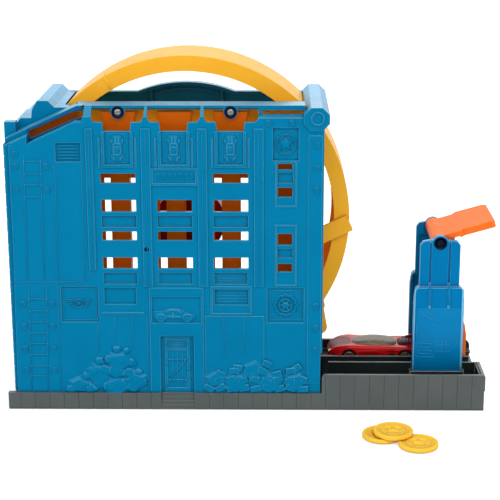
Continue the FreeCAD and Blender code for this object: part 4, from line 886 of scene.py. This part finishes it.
def car_body():
    """The red shell with its arches. Each station has x and the measures of hull_half."""
    stations = [
        (0, 3.4, 7.4, 4.6, 6.0, 7.0, 7.4), (1.2, 2.6, 10.8, 4.8, 7.0, 8.3, 8.7),
        (3.5, 2.2, 13.0, 5.2, 8.6, 10.2, 10.1), (7.0, 2.1, 14.4, 5.8, 10.4, 12.2, 11.4),
        (11.0, 2.0, 15.1, 6.2, 11.7, 13.5, 12.4), (16.0, 2.0, 15.5, 6.4, 12.3, 14.2, 13.0),
        (21.0, 2.0, 15.3, 6.4, 12.0, 13.9, 13.2), (27.0, 1.9, 14.7, 6.4, 11.5, 13.2, 13.0),
        (40.0, 1.9, 14.4, 6.4, 11.5, 13.0, 12.8), (49.0, 2.0, 14.9, 6.8, 11.6, 12.9, 12.5),
        (55.0, 2.0, 15.5, 7.0, 11.6, 12.8, 12.2), (61.0, 2.1, 15.7, 7.2, 11.5, 12.7, 12.0),
        (67.0, 2.6, 15.4, 7.4, 11.2, 12.4, 11.8), (71.5, 3.4, 14.6, 7.4, 10.8, 11.8, 11.5),
        (73.9, 4.2, 13.8, 7.5, 10.2, 11.2, 11.0), (74.5, 4.8, 13.0, 7.6, 9.8, 10.6, 10.6),
    ]
    bm = closed_rings([(x, hull_half(*sizes)) for x, *sizes in stations])
    cutter = wheel_arch_cutter()
    bm = modified(bm, SMOOTH, ("BOOLEAN", {"object": cutter, "operation": "DIFFERENCE", "solver": "EXACT"}))
    bpy.data.objects.remove(cutter)
    shell = BVHTree.FromBMesh(bm)
    body = piece("car_shell", bm, "paint", "car")
    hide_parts("car_body")
    return shell


def cabin_half(width, low, top):
    levels = ((1.0, 0.0), (0.97, 0.35), (0.86, 0.72), (0.6, 0.95), (0.2, 1.0))
    return [(width * wide, low + (top - low) * rise) for wide, rise in levels]


def cabin_skin(stations):
    return modified(closed_rings([(x, cabin_half(*sizes)) for x, *sizes in stations]), SMOOTH)


def car_cabin():
    """Canopy with its roof skin, and the slatted engine cover. Each station has x and the measures of
    cabin_half."""
    bm = cabin_skin([
        (18.0, 4.4, 11.6, 13.2), (20.0, 7.0, 11.6, 14.1), (24.0, 9.2, 11.6, 15.2), (30.0, 10.3, 11.7, 16.0),
        (36.0, 10.7, 11.7, 16.2), (42.0, 10.6, 11.7, 15.9), (48.0, 10.0, 11.8, 15.0), (53.4, 9.0, 11.6, 13.9),
    ])
    dome = BVHTree.FromBMesh(bm)
    glass = piece("canopy", bm, "glass", "car")
    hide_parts("car_canopy")
    bm = bmesh.new()
    roof = [(19.4, 3.6), (22.0, 5.6), (28.0, 6.8), (37.0, 7.2), (46.0, 6.6), (52.4, 5.6)]
    patch(bm, dome, across_middle(roof), 10, 0.08)
    patch_pairs(bm, dome, tops=[([(46.6, 6.2, 10.0), (52.4, 5.4, 8.9)], 6, 0.08)])
    piece("roof_skin", bm, "roof", "car")
    bm = cabin_skin([
        (53.6, 8.6, 10.2, 13.9), (57.0, 8.2, 10.8, 13.8), (61.0, 7.6, 11.0, 13.5), (65.0, 6.6, 11.0, 13.1),
        (68.0, 5.4, 11.0, 12.5),
    ])
    hood = piece("engine_hood", bm, "plum", "car")
    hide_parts("car_engine_cover")
    bm = bmesh.new()
    for i in range(4):
        x, half = 57.0 + 2.4 * i, 4.6 - 0.35 * i
        bar(bm, car_top(13.75 - 0.26 * i), x, -half, x, half, 0.9, 0.3)
    piece("engine_slats", bm, "dark", "car")


def lay(bm, shell, rows, direction, lift, fallen):
    """Faces between rows of vertices, each a little off the shell where a ray from its start meets it. A ray
    that misses leaves the vertex at its start, moved by fallen."""
    made = []
    for row in rows:
        made.append([])
        for start in row:
            hit, normal, _, _ = shell.ray_cast(start, direction)
            made[-1].append(bm.verts.new(hit + normal * lift * MM if hit else start + fallen))
    for last, row in zip(made, made[1:]):
        for k in range(len(row) - 1):
            bm.faces.new((last[k], last[k + 1], row[k + 1], row[k]))


def across_middle(rows):
    return [(x, -half, half) for x, half in rows]


def patch(bm, shell, rows, across, lift=0.06, steps=4):
    """A thin skin laid on the car from above. Rows give x and the two edges in y."""
    fine = []
    for first, second in zip(rows, rows[1:]):
        fine += [[a + (b - a) * k / steps for a, b in zip(first, second)] for k in range(steps)]
    starts = [[car_at(x, y0 + (y1 - y0) * k / across, 40.0) for k in range(across + 1)]
              for x, y0, y1 in fine + [rows[-1]]]
    lay(bm, shell, starts, Vector((0, 0, -1)), lift, Vector((0, 0, -0.03)))


def side_patch(bm, shell, rows, side, along, lift):
    """A thin skin laid on the car's flank. Rows give z and the two ends in x."""
    starts = [[car_at(x0 + (x1 - x0) * k / along, side * 30.0, z) for k in range(along + 1)]
              for z, x0, x1 in rows]
    lay(bm, shell, starts, Vector((0, -side, 0)), lift, Vector((0, 0, 0)))


def patch_pairs(bm, shell, tops=(), flanks=()):
    """Skins on both sides of the car, each given as its rows, its number of columns and its lift."""
    for side in SIDES:
        for rows, across, lift in tops:
            patch(bm, shell, [(x, side * y0, side * y1) for x, y0, y1 in rows], across, lift)
        for rows, along, lift in flanks:
            side_patch(bm, shell, rows, side, along, lift)


def car_trim(shell):
    """Smoked bonnet panels, lamps, seams and side vents that follow the body, with painted shade low on the
    flanks and painted highlights along the belt line and the front wing's crest.
    """
    bm = bmesh.new()
    bonnet = [(1.0, 5.5), (3.0, 8.6), (7.0, 10.6), (11.0, 10.2), (15.0, 8.6), (18.2, 6.4)]
    patch(bm, shell, across_middle(bonnet), 12)
    piece("bonnet_panels", bm, "smoke", "car")
    bm = bmesh.new()
    patch_pairs(bm, shell, tops=[([(58.0, 8.4, 11.4), (64.0, 8.0, 11.6), (70.0, 6.0, 11.0)], 6, 0.06)])
    piece("deck_panels", bm, "plum", "car")
    bm = bmesh.new()
    patch_pairs(bm, shell, tops=[([(1.0, 7.2, 9.2), (2.0, 8.6, 10.6), (3.4, 10.2, 12.0)], 4, 0.12)], flanks=[
        ([(8.2, 70.6, 73.4), (9.6, 70.2, 73.2)], 4, 0.1),
        ([(5.6, 5.6, 6.3), (7.8, 5.2, 6.1)], 2, 0.1),
    ])
    piece("car_lamps", bm, "lamp", "car")
    bm = bmesh.new()
    seams = [[(z, x + 0.12 * (z - 4), x + 0.4 + 0.12 * (z - 4)) for z in (3.2, 5.0, 7.0, 9.0, 11.2)]
             for x in (27.0, 46.2)]
    patch_pairs(bm, shell, flanks=[
        ([(3.4, 2.0, 6.6), (5.2, 1.8, 6.8), (7.2, 3.4, 5.0)], 5, 0.05),
        ([(4.6, 47.8, 51.0), (7.4, 46.6, 51.0), (10.4, 48.4, 50.2)], 5, 0.05),
        (seams[0], 1, 0.05), (seams[1], 1, 0.05), ([(2.9, 24.0, 50.0), (3.4, 24.0, 50.0)], 10, 0.05),
    ])
    patch(bm, shell, across_middle([(19.2, 8.4), (19.6, 8.6)]), 12, 0.05, 1)
    piece("car_seams", bm, "dark", "car")
    bm = bmesh.new()
    # Painted shade: darker red patches on the flanks below the belt line.
    patch_pairs(bm, shell, flanks=[
        ([(4.0, 24.6, 45.4), (5.6, 23.6, 44.6), (7.2, 23.2, 42.0), (8.6, 24.6, 36.0)], 12, 0.06),
        ([(8.9, 43.6, 52.0), (9.5, 44.6, 53.6), (10.1, 47.0, 55.0)], 8, 0.06),
    ])
    piece("flank_painted_shade", bm, "shade", "car")
    bm = bmesh.new()
    # Painted highlights: bright red strips along the belt line and the front wing's crest.
    patch_pairs(bm, shell, flanks=[
        ([(9.6, 22.4, 38.0), (10.1, 21.4, 40.0)], 12, 0.09),
        ([(10.3, 50.6, 63.0), (10.9, 52.2, 62.0)], 12, 0.09),
        ([(7.2, 8.2, 10.6), (8.0, 9.0, 13.6), (8.5, 11.2, 16.6)], 8, 0.09),
    ])
    piece("flank_painted_highlights", bm, "highlight_red", "car")


def car_tail():
    """Fins, wing and exhaust tips."""
    bm = bmesh.new()
    for side in SIDES:
        plane = lambda u, v, out: car_at(u, side * (12.4 + out), v)
        prism(bm, plane, [(60.5, 12.6), (72.4, 12.0), (73.8, 15.2), (68.2, 15.0)], 0.7, 0.3, 0.9)
    wing = lambda u, v, out: car_at(u, v, 14.4 + 0.14 * (u - 66) + out)
    prism(bm, wing, [(66.5, -12.6), (72.6, -12.2), (72.6, 12.2), (66.5, 12.6), (68.4, 0.0)], 0.5, 0.2, 0.4)
    piece("tail_fins", bm, "paint", "car")
    bm = bmesh.new()
    tail = lambda u, v, out: car_at(74.0 + out, u, v)
    for y in (-5.2, -3.0, 3.0, 5.2):
        lathe(bm, tail, y, 6.2, [(0.9, -0.5), (0.9, 0.9), (0.65, 0.95), (0.6, 0.2), (0, 0.2)], 16)
    piece("exhaust_tips", bm, "lamp", "car")


def car_cockpit(shell):
    """Tub, seats, steering wheels and dash under the smoked glass."""
    bm = bmesh.new()
    tub = [(20.0, 6.4), (26.0, 9.2), (36.0, 10.2), (46.0, 10.0), (53.6, 8.6)]
    patch(bm, shell, across_middle(tub), 12, 0.1)
    for side in SIDES:
        seat = lambda u, v, out: car_at(u, side * 4.4 + v, SEAT_Z + out)
        prism(bm, seat, rect(34.5, 41.0, -2.4, 2.4), 1.2, 0.5)
        prism(bm, seat, rect(40.4, 42.6, -2.4, 2.4), 2.8, 0.7)
        lathe(bm, seat, 30.6, 0.0, [(1.5, 0.4), (1.7, 1.0), (1.5, 1.5), (1.0, 1.5), (1.0, 1.1)], 16, False)
    prism(bm, car_top(SEAT_Z), rect(25.5, 28.5, -7.2, 7.2), 1.4, 0.6)
    prism(bm, car_top(SEAT_Z), rect(30.0, 45.0, -0.8, 0.8), 1.0, 0.4)
    piece("car_seats", bm, "tan", "car")


def car_wheels():
    """Tyres with bronze five-spoke rims."""
    tread = [(4.1, -0.6), (4.15, 0.0), (4.6, 0.05), (4.88, -0.25), (5.0, -0.7)]
    for depth in (0, 0.9, 1.8):
        tread += [(5.0, -1.0 - depth), (4.85, -1.1 - depth), (4.85, -1.3 - depth), (5.0, -1.4 - depth)]
    tread += [(5.0, -3.7), (4.7, -4.15), (0.7, -4.2)]
    dish = [(4.15, -0.5), (4.1, 0.1), (3.75, 0.15), (3.5, -0.4), (3.4, -1.0), (0.6, -1.0)]
    for body, x in AXLES.items():
        tyres, rims = bmesh.new(), bmesh.new()
        for side in SIDES:
            plane = upright(LANE_Y + side * WHEEL_OUT, side)
            lathe(tyres, plane, x, AXLE_Z, tread, 48, False)
            lathe(rims, plane, x, AXLE_Z, dish, 40, False)
            for spoke in range(90, 450, 72):
                for lean in (-9, 9):
                    foot = polar(x, AXLE_Z, 0.5, radians(spoke + lean * 0.4))
                    tip = polar(x, AXLE_Z, 3.7, radians(spoke + lean))
                    bar(rims, lifted(plane, -0.9), *foot, *tip, 0.55, 0.75)
            lathe(rims, plane, x, AXLE_Z, [(1.0, -0.9), (1.0, -0.1), (0.8, 0.05), (0, 0.1)], 20)
        made = piece(body + "_tyres", tyres, "tyre", body)
        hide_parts("car_front_wheels" if body.startswith("front") else "car_rear_wheels")
        piece(body + "_rims", rims, "bronze", body)


# ---- coins, safe, launcher, slot and loop ----


def coins():
    """Struck coins: rounded rim, sunk field, beads, ring and star."""
    flat = lambda x, y, out: Vector((x, y, out)) * MM
    for body, node in (("left_coin", "coin_1"), ("top_coin", "coin_2"), ("right_coin", "coin_3")):
        low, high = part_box(node)
        x, y = (low[0] + high[0]) / 2 / MM, (low[1] + high[1]) / 2 / MM
        bottom, top = low[2] / MM, high[2] / MM
        radius = (high[0] - low[0]) / 2 / MM
        thick = top - bottom
        bm = bmesh.new()
        rim = [(0, 0.02), (radius - 0.8, 0.02), (radius - 0.25, 0.2), (radius, 0.7), (radius, thick - 0.7)]
        rim += [(radius - 0.2, thick - 0.2), (radius - 0.7, thick), (radius - 1.6, thick)]
        rim += [(radius - 2.1, thick - 0.25), (radius - 2.3, thick - 0.65), (0, thick - 0.65)]
        lathe(bm, lifted(flat, bottom), x, y, rim, 72)
        sunk = lifted(flat, top - 0.65)
        prism(bm, sunk, star(x, y, 6.6, 3.0), 0.45, 0.2, 0.2)
        band(bm, sunk, circle(x, y, 8.6, 60), 0.6, 0.35, 0.12)
        for bead in circle(x, y, 10.2, 32):
            lathe(bm, sunk, *bead, [(0.5, -0.1), (0.42, 0.22), (0, 0.36)], 8)
        made = piece(node + "_struck", bm, "gold", body)
        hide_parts(node)


def safe_fittings():
    """Bolt heads and bands on the drum, and the dial and bolts of its door."""
    front, back = upright(DRUM_FRONT_Y), upright(DOOR_BACK_Y, 1)
    bm = bmesh.new()
    for x, z in circle(*SAFE, 21.5, 12, 0.5):
        lathe(bm, front, x, z, [(1.7, -0.3), (1.7, 0.5), (1.2, 1.0), (0, 1.1)], 16)
    band(bm, front, circle(*SAFE, 17.0, 60), 1.6, 0.7)
    piece("drum_bolts", bm, "red")
    bm = bmesh.new()
    band(bm, back, circle(*SAFE, 23.6, 72), 2.2, 0.8)
    for x, z in circle(*SAFE, 19.2, 12, 0.5):
        lathe(bm, back, x, z, [(1.3, -0.3), (1.3, 0.4), (0.9, 0.8), (0, 0.9)], 16)
    band(bm, back, circle(*SAFE, 15.6, 60), 0.7, 0.4)
    piece("safe_door_trim", bm, "red", "safe_door")
    bm = bmesh.new()
    dial = [(7.4, -0.3), (7.4, 0.9), (6.4, 1.5), (5.2, 1.5), (4.8, 0.9), (2.6, 0.9), (2.4, 2.6), (0, 2.8)]
    lathe(bm, back, *SAFE, dial, 48)
    handle = lifted(back, 1.3)
    for i in range(3):
        angle = tau * i / 3 + 0.5
        bar(bm, handle, *SAFE, *polar(*SAFE, 9.4, angle), 1.5, 1.2, 0.4)
        lathe(bm, handle, *polar(*SAFE, 9.6, angle), [(1.4, -0.4), (1.4, 1.2), (0.9, 1.7), (0, 1.8)], 16)
    piece("safe_door_wheel", bm, "steel", "safe_door")


def trough_liner():
    """Black lip without sheen that lines the left end of the tray's trough: painted shade of the trough's
    inside.
    """
    bm = bmesh.new()
    prism(bm, lambda x, y, out: at(x, y, TROUGH_Z + out), rect(56.3, 61.4, 3.2, 30.6), 0.25, 0.1, 0.2)
    piece("trough_lip", bm, "void_shade")


def slot_shade_lips():
    """Dark blue lips above and below the slanted slot at the facade's upper left: painted shade along its
    edges.
    """
    upper = [
        (-154.0, 205.9), (-153.0, 206.3), (-120.7, 220.3), (-114.1, 221.2), (-114.1, 223.4), (-120.0, 222.8),
        (-154.0, 208.2),
    ]
    lower = [
        (-154.2, 198.2), (-120.4, 213.4), (-114.6, 214.2), (-115.4, 216.2), (-120.9, 214.9), (-151.4, 201.5),
        (-152.8, 202.6), (-153.4, 205.6), (-154.2, 205.9),
    ]
    bm = bmesh.new()
    for outline in (upper, lower):
        for y, side in SLOT_FACES:
            prism(bm, upright(y, side), outline, 0.1, 0.05, 0.4)
    piece("slot_shade_lips", bm, "recess_shade")


def loop_seam():
    """Yellow strip over the joint at the loop's upper left."""
    start, end = radians(118.45), radians(119.55)
    inner, outer = 109.3, 120.2
    bm = bmesh.new()
    corners = ((inner, start), (outer, start), (outer, end), (inner, end))
    prism(bm, upright(LOOP_FRONT_Y), [polar(LOOP_X, LOOP_Z, *corner) for corner in corners], 0.12, 0.05, 0.1)

    def tread(along, y, out):
        x, z = polar(LOOP_X, LOOP_Z, LOOP_RADIUS + out, start + along / LOOP_RADIUS)
        return at(x, y, z)

    prism(bm, tread, rect(0, LOOP_RADIUS * (end - start), 41.1, 94.9), 0.12, 0.05, 0.1)
    piece("loop_seam", bm, "yellow")


# ---- stage, light and camera ----


def white_floor():
    """A matt floor that looks white to the camera and stays dim in reflections."""
    bpy.ops.mesh.primitive_plane_add(size=12.0, location=(0, 0, -0.0004))
    floor = bpy.context.object
    floor.name = "floor"
    surface, tree, shader = new_material("floor_white")
    feed(tree, shader, {"Base Color": (0.86, 0.86, 0.86, 1), "Roughness": 0.9, "Specular IOR Level": 0.0})
    path = add(tree, "LightPath", {})
    lift = add(tree, "Math", {0: path["Is Camera Ray"], 1: 0.45}, operation="MULTIPLY")[0]
    glow = add(tree, "Emission", {"Strength": lift})[0]
    total = add(tree, "AddShader", {0: shader.outputs[0], 1: glow})[0]
    depth = add(tree, "SeparateXYZ", {0: coords_in(tree)})["Y"]
    near = map_range(tree, depth, -0.75, -0.1, 0.08, 0.4)
    behind = map_range(tree, depth, -0.05, 0.15, 0.0, 0.6)
    dim = add(tree, "Emission", {"Strength": add(tree, "Math", {0: near, 1: behind}, operation="ADD")[0]})[0]
    seen = add(tree, "MixShader", {0: path["Is Glossy Ray"], 1: total, 2: dim})[0]
    feed(tree, tree.nodes["Material Output"], {"Surface": seen})
    floor.data.materials.append(surface)


def studio_world():
    """White all round for the camera. In reflections it is bright behind the set and dim in front."""
    world = bpy.data.worlds.new("studio")
    bpy.context.scene.world = world
    world.use_nodes = True
    tree = world.node_tree
    path = add(tree, "LightPath", {})
    ray = add(tree, "SeparateXYZ", {0: add(tree, "TexCoord", {})["Generated"]})
    reflected = map_range(tree, ray["Y"], -0.2, 0.5, 0.25, 1.3)
    rays = {0: path["Is Camera Ray"], 1: path["Is Transmission Ray"]}
    plain = share(tree, add(tree, "Math", rays, operation="MAXIMUM")[0], 0.8, 1.0)
    strength = add(tree, "Mix", {0: path["Is Glossy Ray"], 2: plain, 3: reflected})[0]
    feed(tree, tree.nodes["Background"], {"Color": (1, 1, 1, 1), "Strength": strength})


def soft_lamp(name, place, aim_z, power):
    """A square lamp 1.2 m wide that looks at a height above the middle of the base."""
    data = bpy.data.lights.new(name, "AREA")
    data.shape = "SQUARE"
    data.size = 1.2
    data.energy = power
    lamp = placed(name, data)
    lamp.location = place
    lamp.rotation_mode = "QUATERNION"
    lamp.rotation_quaternion = (Vector((0, 0, aim_z)) - Vector(place)).to_track_quat("-Z", "Y")


def photo_camera():
    """The photograph's view: 15.9 degrees down, 1.06 degrees to the left, field of view 19.9 degrees."""
    focal_pixels, image_pixels, sensor = 1427.4, 500.0, 36.0
    pitch, yaw, roll = radians(15.9), radians(-1.057), radians(-0.178)
    forward = Vector((sin(yaw) * cos(pitch), cos(yaw) * cos(pitch), -sin(pitch)))
    right = Vector((cos(yaw), -sin(yaw), 0.0))
    down = forward.cross(right)
    turned_right = cos(roll) * right - sin(roll) * down
    turned_down = sin(roll) * right + cos(roll) * down
    data = bpy.data.cameras.new("photo_camera")
    data.sensor_width = sensor
    data.lens = sensor * focal_pixels / image_pixels
    data.clip_start, data.clip_end = 0.05, 50.0
    camera = placed("photo_camera", data)
    axes = Matrix((turned_right, -turned_down, -forward)).transposed()
    camera.matrix_world = Matrix.Translation(at(21.705, -980.540, 401.788)) @ axes.to_4x4()
    bpy.context.scene.camera = camera


for build in (rivets, bay_heads, emblems, panel_lines, wall_lines, door_fittings, rubble, side_bricks,
              screw_heads, tower_marks, pivot_caps):
    build()
body_shell = car_body()
car_cabin()
car_trim(body_shell)
car_tail()
car_cockpit(body_shell)
for build in (car_wheels, coins, safe_fittings, trough_liner, slot_shade_lips, loop_seam, white_floor,
              studio_world):
    build()
soft_lamp("key", (0.5, -1.2, 1.5), 0.1, 11.0)
soft_lamp("fill", (-1.4, -0.9, 0.8), 0.1, 6.0)
soft_lamp("back", (0.2, 1.3, 1.2), 0.15, 7.0)
photo_camera()

bpy.context.scene.view_settings.view_transform = "Standard"
